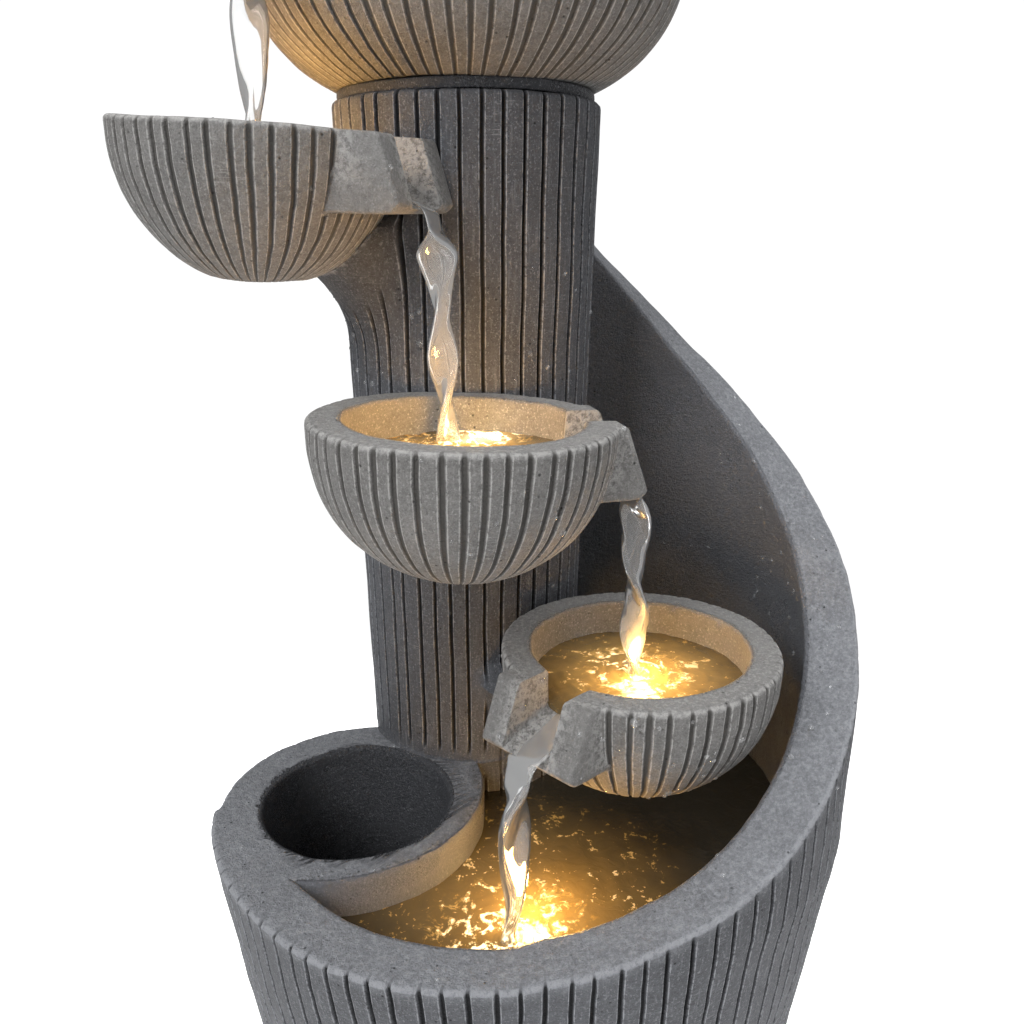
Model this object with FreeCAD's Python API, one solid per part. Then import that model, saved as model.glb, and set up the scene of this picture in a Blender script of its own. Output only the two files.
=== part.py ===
import FreeCAD, Part
import math
import os

# Tiered water fountain for a garden: four half-round bowls on a ribbed hollow column that stands in a
# tapered basin. The basin's wall rises round the right-hand side as a spiral wing, and a planting
# pocket is set into the left. Millimetres, +Z up, front towards -Y. The origin is the centre of the
# whole fountain's footprint, on the ground.

V = FreeCAD.Vector
UP = V(0, 0, 1)

# ---- driving dimensions -----------------------------------------------------------------------------
BASE = V(23.6, -4.9, 0)          # centre of the basin's round outline
BASE_R = 237.0                  # outline radius at the rim
BASE_BULGE = 20.0               # how far the front-left of the outline stands out from that circle
BASE_TAPER = 0.175              # the underside is this much smaller than the rim
RIM_Z = 335.0                   # height of the flat rim
WALL = 38.0                     # basin wall and wing thickness
FADE_START = 88.0               # plan angles over which the round wall turns in to the column's back
FADE_END = 132.0
SHELL = 16.0                    # casting thickness under the basin
BASIN_FLOOR_Z = 215.0
FLOOR = 14.0                    # thickness of the basin's and the pocket's floors

COLUMN = BASE + V(-54, 90, 0)   # column axis
COLUMN_FOOT_R = 88.0
COLUMN_TOP_R = 100.0
COLUMN_TOP_Z = 841.0
COLUMN_WALL = 14.0
COLUMN_CAP = 16.0               # thickness of the closed top

POCKET = BASE + V(-139, -49, 0)         # planting pocket's hole
POCKET_R = 70.0
POCKET_FLOOR_Z = 145.0
SHOULDER = BASE + V(-136, -49, 0)       # round shoulder that carries the pocket
SHOULDER_R = 106.0
PARTITION = BASE + V(-154, -33, 0)      # face of the pocket's wall towards the basin
PARTITION_R = 112.0

WING_START = -95.0              # plan angle where the rim begins to rise, degrees from +X
WING_LINEAR = 0.623             # rise per degree
WING_SQUARE = 0.0100            # rise per degree squared
WING_SWELL = 16.0               # extra rise half way round
WING_TOP = 430.0                # highest rise above the rim
WING_END = 128.0                # plan angle where the wing has run out behind the column
WING_STEP = 8.0

BOWL_DEPTH = 103.0              # depth at which the bowls' round profile would close
BOWL_BOTTOM = 96.5              # depth at which it is cut flat
BOWL_ROUND = 2.3                # power of the round profile, 2 for an ellipse
BOWL_LIP = 22.0                 # wall thickness at the lip
BOWL_INSIDE = 72.0              # depth of the hollow
SPOUT_HALF = 39.0               # half the spout's width over its cheeks
TROUGH_HALF = 19.0              # half the channel's width
TOP_BOWL_R = 160.0
TOP_BOWL_DEPTH = 127.4
TOP_BOWL_ROUND = 2.87
TOP_BOWL_INSIDE = 76.0
NECK_R = 96.0
NECK_H = 8.0

# name: centre of the lip, lip radius, the spout's plan angle, how far the bowl leans to its spout,
# and how much further its spout stands out than the lower bowl's
BOWLS = {
    "upper": (BASE + V(-189, 2, 818), 95.0, -22.5, 4.2, 15.0),
    "middle": (BASE + V(-50, -96, 642), 97.5, 14.0, 2.1, -5.0),
    "lower": (BASE + V(69, -74, 477), 97.0, -135.0, 0.0, 0.0),
}
TOP_LIP_Z = COLUMN_TOP_Z + NECK_H + 109.0
TOP_SPOUT_ANGLE = -131.0
CORBEL_REACH = {"upper": 112.0, "middle": 120.0, "lower": 146.0}     # corbel's top, from the column's axis
CORBEL_TOP_DROP = 68.0          # corbel's top below the bowl's lip
CORBEL_H = 85.0
LEAD_R = 2.5
LEAD_BEND = 16.0                # radius of a lead's square bends
CHANNEL_R = 3.5
CHANNEL_SHORT = 12.0            # a lead's channel stops this far before its first bend's corner

DOOR_ANGLE = 150.0              # the rear door faces this way from the column's axis
DOOR_HALF = 40.0
DOOR_Z = (375.0, 505.0)
DOOR_REBATE = 7.0
DOOR_GAP = 0.6
GROMMET_Z = 352.0

PUMP_FRONT_Y = COLUMN.y - 11.0  # face that the strainer cover closes
PUMP_HALF = 29.0                # half the pump's width
PUMP_Z = (223.0, 279.0)
PUMP_LENGTH = 60.0
IMPELLER_Z = 250.0
VOLUTE_R = 20.0
VOLUTE_DEPTH = 22.0
ROTOR_R = 9.0
SHAFT_R = 1.5
RISER_R = 8.0
RISER_BORE_R = 6.0

LAMP_R = 13.0
LAMP_H = 10.0
LAMP_SINK = 4.0
LAMP_STEM_R = 4.0
BASIN_LAMP_ANGLE = -78.0        # plan direction from the column, in line with one intake slot
BASIN_LAMP_OUT = 235.0          # distance from the column's axis

JUNCTION = COLUMN + V(46, -22, 0)       # plan place of the sealed joint of all the leads
JUNCTION_Z = (318.0, 348.0)
JUNCTION_SIZE = (36.0, 20.0)

nodes = {}


# ---- helpers ----------------------------------------------------------------------------------------
def at_angle(centre, radius, degrees, z=0.0):
    """Point at a plan angle round a centre."""
    a = math.radians(degrees)
    return V(centre.x + radius * math.cos(a), centre.y + radius * math.sin(a), z)


def cylinder(centre, radius, z0, z1):
    return Part.makeCylinder(radius, z1 - z0, V(centre.x, centre.y, z0), UP)


def cone(centre, r0, r1, z0, z1):
    return Part.makeCone(r0, r1, z1 - z0, V(centre.x, centre.y, z0), UP)


def rod(start, end, radius):
    return Part.makeCylinder(radius, (end - start).Length, start, end - start)


def prism(points, z0, z1):
    """Upright prism over a plan polygon."""
    wire = Part.makePolygon([V(p[0], p[1], z0) for p in points + points[:1]])
    return Part.Face(wire).extrude(V(0, 0, z1 - z0))


def far_radius(centre, radius, degrees):
    """Distance from the base's centre to the far side of a circle, along a plan angle."""
    a = math.radians(degrees)
    dx = centre.x - BASE.x
    dy = centre.y - BASE.y
    along = dx * math.cos(a) + dy * math.sin(a)
    across = dx * math.sin(a) - dy * math.cos(a)
    if abs(across) >= radius:
        return 1.0
    return max(1.0, along + math.sqrt(radius ** 2 - across ** 2))


def outline_radius(degrees):
    """Plan outline at the rim: the round basin, the pocket's shoulder and the column, blended."""
    d = degrees % 360
    if d >= 270 or d <= FADE_START:
        round_part = BASE_R
    elif d >= 195:
        round_part = BASE_R + BASE_BULGE * math.sin(math.radians(2 * (d - 180)))
    elif d <= FADE_END:
        fade = (d - FADE_START) / (FADE_END - FADE_START)
        round_part = BASE_R * (1 - 0.5 * fade ** 2 * (3 - 2 * fade))
    elif d > 175:
        round_part = BASE_R * (d - 175) / 20
    else:
        round_part = 1.0
    parts = (max(round_part, 1.0), far_radius(COLUMN, COLUMN_FOOT_R, d), far_radius(SHOULDER, SHOULDER_R, d))
    sharpness = 30
    return sum(r ** sharpness for r in parts) ** (1.0 / sharpness)


def outline(z, scale=1.0, inset=0.0):
    """Closed smooth wire of the outline at one height."""
    points = [at_angle(BASE, outline_radius(a) * scale - inset, a, z) for a in range(0, 360, 5)]
    curve = Part.BSplineCurve()
    curve.interpolate(Points=points, PeriodicFlag=True)
    return Part.Wire(curve.toShape())


def taper(z):
    return 1.0 - BASE_TAPER * (RIM_Z - z) / RIM_Z


def wing_rise(degrees):
    """Height of the wing's edge above the rim at a plan angle."""
    t = degrees - WING_START
    rise = WING_LINEAR * t + WING_SQUARE * t ** 2 + WING_SWELL * math.exp(-((t - 108) / 38) ** 2)
    return min(rise, WING_TOP)


def rounded(box, radius):
    return box.makeFillet(radius, box.Edges)


# ---- base casting -----------------------------------------------------------------------------------
def wing_block():
    """Solid under the rising edge, over the whole wall."""
    sections = []
    a = WING_START
    while a <= WING_END:
        top = RIM_Z + max(wing_rise(a), 0.5)
        corners = [(70.0, RIM_Z), (250.0, RIM_Z), (250.0, top), (70.0, top)]
        points = [at_angle(BASE, r, a, z) for r, z in corners]
        sections.append(Part.makePolygon(points + points[:1]))
        a += WING_STEP
    under = Part.makeLoft(sections, True, True)
    wall = Part.Face(outline(RIM_Z, inset=0.3)).extrude(V(0, 0, WING_TOP + 20))
    return wall.common(under)


def basin_space():
    """What the water and the open space above it take out of the wall and the wing."""
    basin = Part.Face(outline(BASIN_FLOOR_Z, inset=WALL)).extrude(V(0, 0, 600))
    rear_web = cylinder(at_angle(BASE, 205, 105), 38, 0, 900)
    kept = [cylinder(PARTITION, PARTITION_R, 0, 900), rear_web]
    for keep in kept:
        basin = basin.cut(keep)
    return basin


def wing_wall(basin):
    return wing_block().cut(basin).cut(column_outside())


def base_casting(basin):
    body = Part.makeLoft([outline(0, taper(0)), outline(RIM_Z)], True, True)
    body = body.cut(cylinder(COLUMN, COLUMN_FOOT_R - COLUMN_WALL, BASIN_FLOOR_Z, 500))
    under = Part.makeLoft([outline(-1, taper(-1), SHELL), outline(BASIN_FLOOR_Z - FLOOR,
                          taper(BASIN_FLOOR_Z - FLOOR), SHELL)], True, True)
    under = under.cut(cylinder(POCKET, POCKET_R + FLOOR, POCKET_FLOOR_Z - FLOOR, 400))
    body = body.cut(basin).cut(under)
    body = body.cut(cylinder(POCKET, POCKET_R, POCKET_FLOOR_Z, 500))
    return body.cut(cylinder(POCKET, 6, 0, POCKET_FLOOR_Z + 1))


def column_foot(basin):
    """Wall between the basin and the pump, up to the rim, with the water's intake slots."""
    ring = cylinder(COLUMN, COLUMN_FOOT_R, BASIN_FLOOR_Z, RIM_Z)
    body = ring.common(basin).cut(cylinder(COLUMN, COLUMN_FOOT_R - COLUMN_WALL, 0, 500))
    for angle in (BASIN_LAMP_ANGLE + 12 * i for i in range(5)):
        inner = at_angle(COLUMN, 60, angle, 0)
        outer = at_angle(COLUMN, 110, angle, 0)
        side = at_angle(V(0, 0, 0), 4, angle + 90)
        slot = prism([(inner + side)[:2], (outer + side)[:2], (outer - side)[:2], (inner - side)[:2]],
                     BASIN_FLOOR_Z, BASIN_FLOOR_Z + 45)
        body = body.cut(slot)
    return body


# ---- column -----------------------------------------------------------------------------------------
def corbel(foot, top, r_foot, r_top, z_foot, z_top):
    """Leaning bracket that carries a bowl, wider at the top."""
    low = Part.Wire(Part.makeCircle(r_foot, V(foot.x, foot.y, z_foot)))
    high = Part.Wire(Part.makeCircle(r_top, V(top.x, top.y, z_top)))
    return Part.makeLoft([low, high], True, True)


def door_box(half, z0, z1, r0=40.0, r1=130.0):
    out = at_angle(V(0, 0, 0), 1, DOOR_ANGLE)
    side = at_angle(V(0, 0, 0), half, DOOR_ANGLE + 90)
    near = COLUMN + out * r0
    far = COLUMN + out * r1
    return prism([(near + side)[:2], (far + side)[:2], (far - side)[:2], (near - side)[:2]], z0, z1)


def column_outside(shrink=0.0):
    return cone(COLUMN, COLUMN_FOOT_R - shrink, COLUMN_TOP_R - shrink, RIM_Z, COLUMN_TOP_Z)


def bracket(name, bowl, lead_channels):
    """The piece under one bowl, shaped to the bowl and to the column."""
    centre = BOWLS[name][0]
    towards = V(centre.x - COLUMN.x, centre.y - COLUMN.y, 0).normalize()
    top_z = centre.z - CORBEL_TOP_DROP
    body = corbel(COLUMN + towards * 60, COLUMN + towards * CORBEL_REACH[name], 24, 50,
                  max(RIM_Z + 8, top_z - CORBEL_H), top_z)
    body = body.cut(column_outside()).cut(bowl)
    for channel in lead_channels:
        body = body.cut(channel)
    return body


def column_casting(lead_channels):
    body = column_outside()
    slope = (COLUMN_TOP_R - COLUMN_FOOT_R) / (COLUMN_TOP_Z - RIM_Z)
    top_z = COLUMN_TOP_Z - COLUMN_CAP
    inner_top = COLUMN_TOP_R - COLUMN_WALL - slope * COLUMN_CAP
    body = body.cut(cone(COLUMN, COLUMN_FOOT_R - COLUMN_WALL, inner_top, RIM_Z, top_z))
    body = body.cut(cylinder(COLUMN, RISER_R + 1, top_z - 1, COLUMN_TOP_Z + 1))
    rebate = door_box(DOOR_HALF, *DOOR_Z).cut(column_outside(DOOR_REBATE))
    body = body.cut(rebate)
    body = body.cut(door_box(DOOR_HALF - 7, DOOR_Z[0] + 7, DOOR_Z[1] - 7))
    inner = at_angle(COLUMN, 60, DOOR_ANGLE, GROMMET_Z)
    outer = at_angle(COLUMN, 110, DOOR_ANGLE, GROMMET_Z)
    body = body.cut(rod(inner, outer, 7))
    for channel in lead_channels:
        body = body.cut(channel)
    return body


def rear_door():
    panel = column_outside().cut(column_outside(DOOR_REBATE - 0.4))
    gap = DOOR_GAP
    panel = panel.common(door_box(DOOR_HALF - gap, DOOR_Z[0] + gap, DOOR_Z[1] - gap))
    mid_z = DOOR_Z[1] - 26
    pull = rod(at_angle(COLUMN, 70, DOOR_ANGLE, mid_z), at_angle(COLUMN, 120, DOOR_ANGLE, mid_z), 9)
    return panel.cut(pull)


def cord_grommet():
    start = at_angle(COLUMN, 72, DOOR_ANGLE, GROMMET_Z)
    face = at_angle(COLUMN, COLUMN_FOOT_R + 0.4, DOOR_ANGLE, GROMMET_Z)
    out = at_angle(COLUMN, COLUMN_FOOT_R + 5, DOOR_ANGLE, GROMMET_Z)
    body = rod(start, out, 7).fuse(rod(face + (out - face) * 0.25, out, 11))
    return body.cut(rod(start - (out - start) * 0.1, out + (out - start) * 0.1, 3.5))


# ---- bowls ------------------------------------------------------------------------------------------
def bowl_curve(radius, depth, power, d):
    """Outside radius of a bowl at depth d below its lip."""
    return radius * math.sqrt(max(0.0, 1 - (d / depth) ** power))


def revolved(profile_low_to_high, top_z):
    """Solid of revolution from a smooth side through points (r, z), closed to the axis."""
    curve = Part.BSplineCurve()
    curve.interpolate([V(r, 0, z) for r, z in profile_low_to_high])
    low = profile_low_to_high[0]
    high = profile_low_to_high[-1]
    edges = [Part.makeLine(V(0, 0, low[1]), V(low[0], 0, low[1])), curve.toShape()]
    if top_z > high[1]:
        edges.append(Part.makeLine(V(high[0], 0, high[1]), V(high[0], 0, top_z)))
    edges.append(Part.makeLine(V(high[0], 0, top_z), V(0, 0, top_z)))
    edges.append(Part.makeLine(V(0, 0, top_z), V(0, 0, low[1])))
    return Part.Face(Part.Wire(edges)).revolve(V(0, 0, 0), UP, 360)


def bowl_outside(radius, depth, power, bottom):
    """Half-round outside with its lip at z = 0, cut flat at the depth called bottom."""
    steps = [bottom * i / 8.0 for i in range(8, -1, -1)]
    return revolved([(bowl_curve(radius, depth, power, d), -d) for d in steps], 0.0)


def bowl_hollow(radius, depth):
    steps = [depth * i / 8.0 for i in range(8, -1, -1)]
    profile = [(radius * (1 - 0.72 * (d / depth) ** 3) ** 0.5, -d) for d in steps]
    return revolved(profile, 12.0)


def spout_profile(radius, reach, y):
    """Side view of the spout, from inside the bowl to its lip, in the bowl's own frame."""
    end = radius + reach
    side = [(radius - 45, 0), (end + 3, 0), (end + 19, -41), (end + 14, -46), (end + 6, -47),
            (radius - 16, -48), (radius - 45, -62)]
    points = [V(x, y, z) for x, z in side]
    return Part.Face(Part.makePolygon(points + points[:1]))


def trough_profile(radius, reach, y):
    far = radius + reach + 40
    side = [(radius - 60, 20), (radius - 60, -25), (radius - 30, -26), (far, -49), (far, 20)]
    points = [V(x, y, z) for x, z in side]
    return Part.Face(Part.makePolygon(points + points[:1]))


def spout(radius, reach):
    return spout_profile(radius, reach, -SPOUT_HALF).extrude(V(0, 2 * SPOUT_HALF, 0))


def trough(radius, reach):
    return trough_profile(radius, reach, -TROUGH_HALF).extrude(V(0, 2 * TROUGH_HALF, 0))


def placed(shape, centre, angle, lean):
    """Turns a bowl's shape to its spout's plan angle, leans it and puts its lip in place."""
    shape = shape.copy()
    shape.rotate(V(0, 0, 0), V(0, 1, 0), lean)
    shape.rotate(V(0, 0, 0), UP, angle)
    shape.translate(centre)
    return shape


def lamp_solids(floor_z):
    """Sealed lamp on a hollow's floor, in the bowl's own frame: housing, then lens."""
    origin = V(0, 0, 0)
    z0 = floor_z - LAMP_SINK
    housing = cylinder(origin, LAMP_R, z0, z0 + LAMP_H)
    housing = housing.fuse(cylinder(origin, LAMP_STEM_R, z0 - 14, z0 + 1))
    housing = housing.cut(cylinder(origin, LAMP_R - 2, z0 + LAMP_H - 3, z0 + LAMP_H + 1))
    lens = cylinder(origin, LAMP_R - 2, z0 + LAMP_H - 3, z0 + LAMP_H)
    dome = Part.makeSphere(24, V(0, 0, z0 + LAMP_H - 20.5))
    lens = lens.fuse(dome.common(cylinder(origin, LAMP_R - 2, z0 + LAMP_H - 1, z0 + LAMP_H + 6)))
    return housing, lens


def lamp_seat(floor_z):
    origin = V(0, 0, 0)
    z0 = floor_z - LAMP_SINK
    return cylinder(origin, LAMP_R, z0, floor_z + 1).fuse(cylinder(origin, LAMP_STEM_R, z0 - 14, z0 + 1))


def small_bowl(name):
    centre, radius, angle, lean, reach = BOWLS[name]
    outside = bowl_outside(radius, BOWL_DEPTH, BOWL_ROUND, BOWL_BOTTOM)
    hollow = bowl_hollow(radius - BOWL_LIP, BOWL_INSIDE)
    housing, lens = lamp_solids(-BOWL_INSIDE)
    body = outside.fuse(spout(radius, reach)).cut(hollow).cut(trough(radius, reach))
    body = body.cut(lamp_seat(-BOWL_INSIDE))
    body = placed(body, centre, angle, lean)
    nodes["led_housing_" + name] = placed(housing, centre, angle, lean)
    nodes["led_lens_" + name] = placed(lens, centre, angle, lean)
    cope = column_outside()
    return body.cut(cope), placed(outside, centre, angle, lean)


def top_bowl():
    radius = TOP_BOWL_R
    outside = bowl_outside(radius, TOP_BOWL_DEPTH, TOP_BOWL_ROUND, TOP_LIP_Z - COLUMN_TOP_Z - NECK_H)
    hollow = bowl_hollow(radius - BOWL_LIP, TOP_BOWL_INSIDE)
    body = outside.fuse(spout(radius, 0)).cut(hollow).cut(trough(radius, 0))
    body = placed(body, V(COLUMN.x, COLUMN.y, TOP_LIP_Z), TOP_SPOUT_ANGLE, 0)
    return body.cut(cylinder(COLUMN, 10, COLUMN_TOP_Z, TOP_LIP_Z))


# ---- leads ------------------------------------------------------------------------------------------
def lead(points):
    """Round lead along straight runs joined by tangent arcs."""
    edges = []
    last = points[0]
    for before, corner, after in zip(points, points[1:], points[2:]):
        a = (before - corner).normalize()
        b = (after - corner).normalize()
        cut_back = min(LEAD_BEND, 0.45 * min((before - corner).Length, (after - corner).Length))
        start = corner + a * cut_back
        end = corner + b * cut_back
        half_turn = (math.pi - a.getAngle(b)) / 2
        radius = cut_back / math.tan(half_turn)
        middle_way = (a + b).normalize()
        to_centre = radius / math.cos(half_turn)
        middle = corner + middle_way * (to_centre - radius)
        edges.append(Part.makeLine(last, start))
        edges.append(Part.Arc(start, middle, end).toShape())
        last = end
    edges.append(Part.makeLine(last, points[-1]))
    path = Part.Wire(edges)
    ring = Part.Wire(Part.makeCircle(LEAD_R, points[0], points[1] - points[0]))
    return path.makePipeShell([ring], True, True)


def lead_routes():
    """Each lamp's lead: from its stem, through the bowl and the column's wall, down to the junction."""
    routes = {}
    for index, name in enumerate(BOWLS):
        centre, _, angle, lean, _ = BOWLS[name]
        stem = placed(Part.Vertex(0, 0, -BOWL_INSIDE - LAMP_SINK - 12), centre, angle, lean).Point
        end = JUNCTION + V(10.0 * (index - 1), 0, JUNCTION_Z[1] - 2)
        inward = V(end.x, end.y, stem.z)
        routes[name] = [stem, inward, end]
    return routes


def low_leads():
    """The basin lamp's lead along the floor and through a slot, and the pump's lead, up to the junction."""
    floor_z = BASIN_FLOOR_Z + LEAD_R + 2
    under = JUNCTION_Z[0] + 2
    basin = [at_angle(COLUMN, BASIN_LAMP_OUT - LAMP_R + 2, BASIN_LAMP_ANGLE, floor_z),
             at_angle(COLUMN, 59, BASIN_LAMP_ANGLE, floor_z),
             COLUMN + V(54, -36, floor_z), JUNCTION + V(10, 0, under)]
    rise = PUMP_Z[1] + 20
    pump_lead = [COLUMN + V(22, 32, PUMP_Z[1] - 2), COLUMN + V(22, 32, rise), JUNCTION + V(-10, 0, rise),
                 JUNCTION + V(-10, 0, under)]
    return {"led_lead_basin": basin, "pump_lead": pump_lead}


def lead_channel(route):
    along = (route[1] - route[0]).normalize()
    return rod(route[0], route[1] - along * CHANNEL_SHORT, CHANNEL_R)


# ---- pump -------------------------------------------------------------------------------------------
def pump():
    x = COLUMN.x
    front = PUMP_FRONT_Y
    z0, z1 = PUMP_Z
    box = Part.makeBox(2 * PUMP_HALF, PUMP_LENGTH, z1 - z0, V(x - PUMP_HALF, front, z0))
    box = box.makeFillet(6, [e for e in box.Edges if abs(e.tangentAt(e.FirstParameter).y) > 0.9])
    axis_point = V(x, front, IMPELLER_Z)
    volute = Part.makeCylinder(VOLUTE_R, VOLUTE_DEPTH, axis_point, V(0, 1, 0))
    can = Part.makeCylinder(ROTOR_R + 0.6, 36, axis_point + V(0, VOLUTE_DEPTH - 1, 0), V(0, 1, 0))
    shaft_hole = Part.makeCylinder(SHAFT_R, 56, axis_point, V(0, 1, 0))
    outlet = cylinder(COLUMN, 5, IMPELLER_Z, z1 + 1)
    seat = cylinder(COLUMN, 8, z1 - 8, z1 + 1)
    body = box.cut(volute).cut(can).cut(outlet).cut(seat)
    rear_boss = Part.makeCylinder(4, 5, axis_point + V(0, VOLUTE_DEPTH + 31, 0), V(0, 1, 0))
    body = body.fuse(rear_boss.cut(shaft_hole)).cut(shaft_hole)
    nodes["pump_housing"] = body
    nodes["impeller_shaft"] = Part.makeCylinder(SHAFT_R, 51, axis_point + V(0, 5, 0), V(0, 1, 0))

    hub = Part.makeCylinder(5, 15, axis_point + V(0, 4, 0), V(0, 1, 0))
    magnet = Part.makeCylinder(ROTOR_R, 29, axis_point + V(0, VOLUTE_DEPTH + 1, 0), V(0, 1, 0))
    disc = Part.makeCylinder(16, 2, axis_point + V(0, 18.5, 0), V(0, 1, 0))
    neck = Part.makeCylinder(5, 5, axis_point + V(0, 18, 0), V(0, 1, 0))
    wheel = hub.fuse(magnet).fuse(disc).fuse(neck)
    for i in range(6):
        blade = Part.makeBox(1.6, 14, 12, V(x - 0.8, front + 5, IMPELLER_Z + 4))
        blade.rotate(axis_point, V(0, 1, 0), 60 * i)
        wheel = wheel.fuse(blade)
    nodes["pump_impeller"] = wheel.cut(Part.makeCylinder(SHAFT_R + 0.05, 60, axis_point, V(0, 1, 0)))

    barb = cylinder(COLUMN, 8, z1 - 8, z1 + 3).fuse(cylinder(COLUMN, 5.9, z1, z1 + 24))
    for i in range(3):
        barb = barb.fuse(cone(COLUMN, 6.0, 5.9, z1 + 8 + 5 * i, z1 + 11 + 5 * i))
    nodes["pump_outlet_barb"] = barb.cut(cylinder(COLUMN, 4, z1 - 10, z1 + 30))

    cups = []
    for sx in (-1, 1):
        for y in (front + 12, front + 48):
            foot = V(x + sx * 20, y, 0)
            cups.append(cone(foot, 9, 5, BASIN_FLOOR_Z, z0 - 3).fuse(cylinder(foot, 3.5, z0 - 3, z0)))
    nodes["pump_suction_cups"] = Part.makeCompound(cups)
    strainer()


def strainer():
    """Slotted front cover of the pump, with the flow dial in its face."""
    x = COLUMN.x
    depth = 22.0
    back = PUMP_FRONT_Y - 0.4
    z0, z1 = PUMP_Z
    box = Part.makeBox(2 * PUMP_HALF, depth, z1 - z0, V(x - PUMP_HALF, back - depth, z0))
    box = box.makeFillet(5, [e for e in box.Edges if abs(e.tangentAt(e.FirstParameter).y) > 0.9])
    skin = 2.5
    inner_corner = V(x - PUMP_HALF + skin, back - depth + skin, z0 + skin)
    hollow = Part.makeBox(2 * (PUMP_HALF - skin), depth, z1 - z0 - 2 * skin, inner_corner)
    body = box.cut(hollow)
    for i in range(9):
        sx = x - 22 + 5.5 * i
        if abs(sx - x) < 13:
            spans = ((z0 + 6, IMPELLER_Z - 13), (IMPELLER_Z + 13, z1 - 6))
        else:
            spans = ((z0 + 6, z1 - 6),)
        for low, high in spans:
            body = body.cut(Part.makeBox(2, 6, high - low, V(sx - 1, back - depth - 1, low)))
    centre = V(x, back - depth, IMPELLER_Z)
    body = body.cut(Part.makeCylinder(3.05, 10, centre - V(0, 2, 0), V(0, 1, 0)))
    nodes["pump_strainer"] = body
    dial = Part.makeCylinder(10, 4, centre - V(0, 4.4, 0), V(0, 1, 0))
    dial = dial.fuse(Part.makeCylinder(3, 8, centre - V(0, 1, 0), V(0, 1, 0)))
    dial = dial.fuse(Part.makeBox(2.4, 3, 17, V(x - 1.2, centre.y - 6.4, IMPELLER_Z - 8.5)))
    nodes["pump_flow_dial"] = dial


def riser_and_nozzle():
    z0 = PUMP_Z[1] + 5
    floor_z = TOP_LIP_Z - TOP_BOWL_INSIDE
    bore = cylinder(COLUMN, RISER_BORE_R, z0 - 1, floor_z)
    nodes["riser_tube"] = cylinder(COLUMN, RISER_R, z0, COLUMN_TOP_Z + 4).cut(bore)
    band = cylinder(COLUMN, RISER_R + 1.2, z0 + 6, z0 + 15)
    lug = Part.makeBox(9, 8, 9, V(COLUMN.x + 7, COLUMN.y - 4, z0 + 6))
    nodes["riser_clamp"] = band.fuse(lug).cut(cylinder(COLUMN, RISER_R, z0, z0 + 30))
    tail = cylinder(COLUMN, 5.9, COLUMN_TOP_Z - 20, COLUMN_TOP_Z + 4)
    body = tail.fuse(cylinder(COLUMN, 9.8, COLUMN_TOP_Z + 4, floor_z + 3))
    flange = cylinder(COLUMN, 16, floor_z + 3, floor_z + 8)
    body = body.fuse(flange).fuse(cylinder(COLUMN, 9, floor_z + 8, floor_z + 26))
    nodes["bubbler_nozzle"] = body.cut(cylinder(COLUMN, 4, 700, floor_z + 40))
    washer = cylinder(COLUMN, 17, floor_z, floor_z + 3)
    nodes["nozzle_washer"] = washer.cut(cylinder(COLUMN, 9.8, 700, floor_z + 9))


def junction_block():
    z0, z1 = JUNCTION_Z
    length, width = JUNCTION_SIZE
    corner = V(JUNCTION.x - length / 2, JUNCTION.y - width / 2, z0)
    return rounded(Part.makeBox(length, width, z1 - z0, corner), 3)


# ---- build ------------------------------------------------------------------------------------------
def build():
    routes = lead_routes()
    channels = [lead_channel(route) for route in routes.values()]
    for name in BOWLS:
        body, outside = small_bowl(name)
        for channel in channels:
            body = body.cut(channel)
        nodes[name + "_bowl"] = body
        nodes[name + "_bracket"] = bracket(name, outside, channels)
    basin = basin_space()
    nodes["base_casting"] = base_casting(basin)
    nodes["column_foot"] = column_foot(basin)
    nodes["wing_wall"] = wing_wall(basin)
    nodes["column_casting"] = column_casting(channels)
    nodes["neck_ring"] = cylinder(COLUMN, NECK_R, COLUMN_TOP_Z, COLUMN_TOP_Z + NECK_H).cut(
        cylinder(COLUMN, 60, COLUMN_TOP_Z - 1, COLUMN_TOP_Z + NECK_H + 1))
    nodes["top_bowl"] = top_bowl()
    nodes["rear_door"] = rear_door()
    nodes["cord_grommet"] = cord_grommet()
    for name, route in routes.items():
        nodes["led_lead_" + name] = lead(route)
    for name, route in low_leads().items():
        nodes[name] = lead(route)
    pump()
    riser_and_nozzle()
    nodes["lead_junction"] = junction_block()

    housing, lens = lamp_solids(LAMP_SINK)
    nodes["led_housing_basin"] = housing.cut(cylinder(V(0, 0, 0), 9, -40, 0))
    lamp_place = at_angle(COLUMN, BASIN_LAMP_OUT, BASIN_LAMP_ANGLE, BASIN_FLOOR_Z)
    nodes["led_housing_basin"].translate(lamp_place)
    lens.translate(lamp_place)
    nodes["led_lens_basin"] = lens

    os.makedirs("parts", exist_ok=True)
    for name, shape in nodes.items():
        shape = shape.removeSplitter()
        shape.exportStep("parts/" + name + ".step")
        print(name, shape.ShapeType, len(shape.Solids), shape.isValid(), round(shape.Volume / 1000.0, 1))
    print("box", Part.makeCompound(list(nodes.values())).optimalBoundingBox(True))


build()
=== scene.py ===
import math

import bmesh
import bpy
import numpy as np
from mathutils import Matrix, Vector


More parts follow.
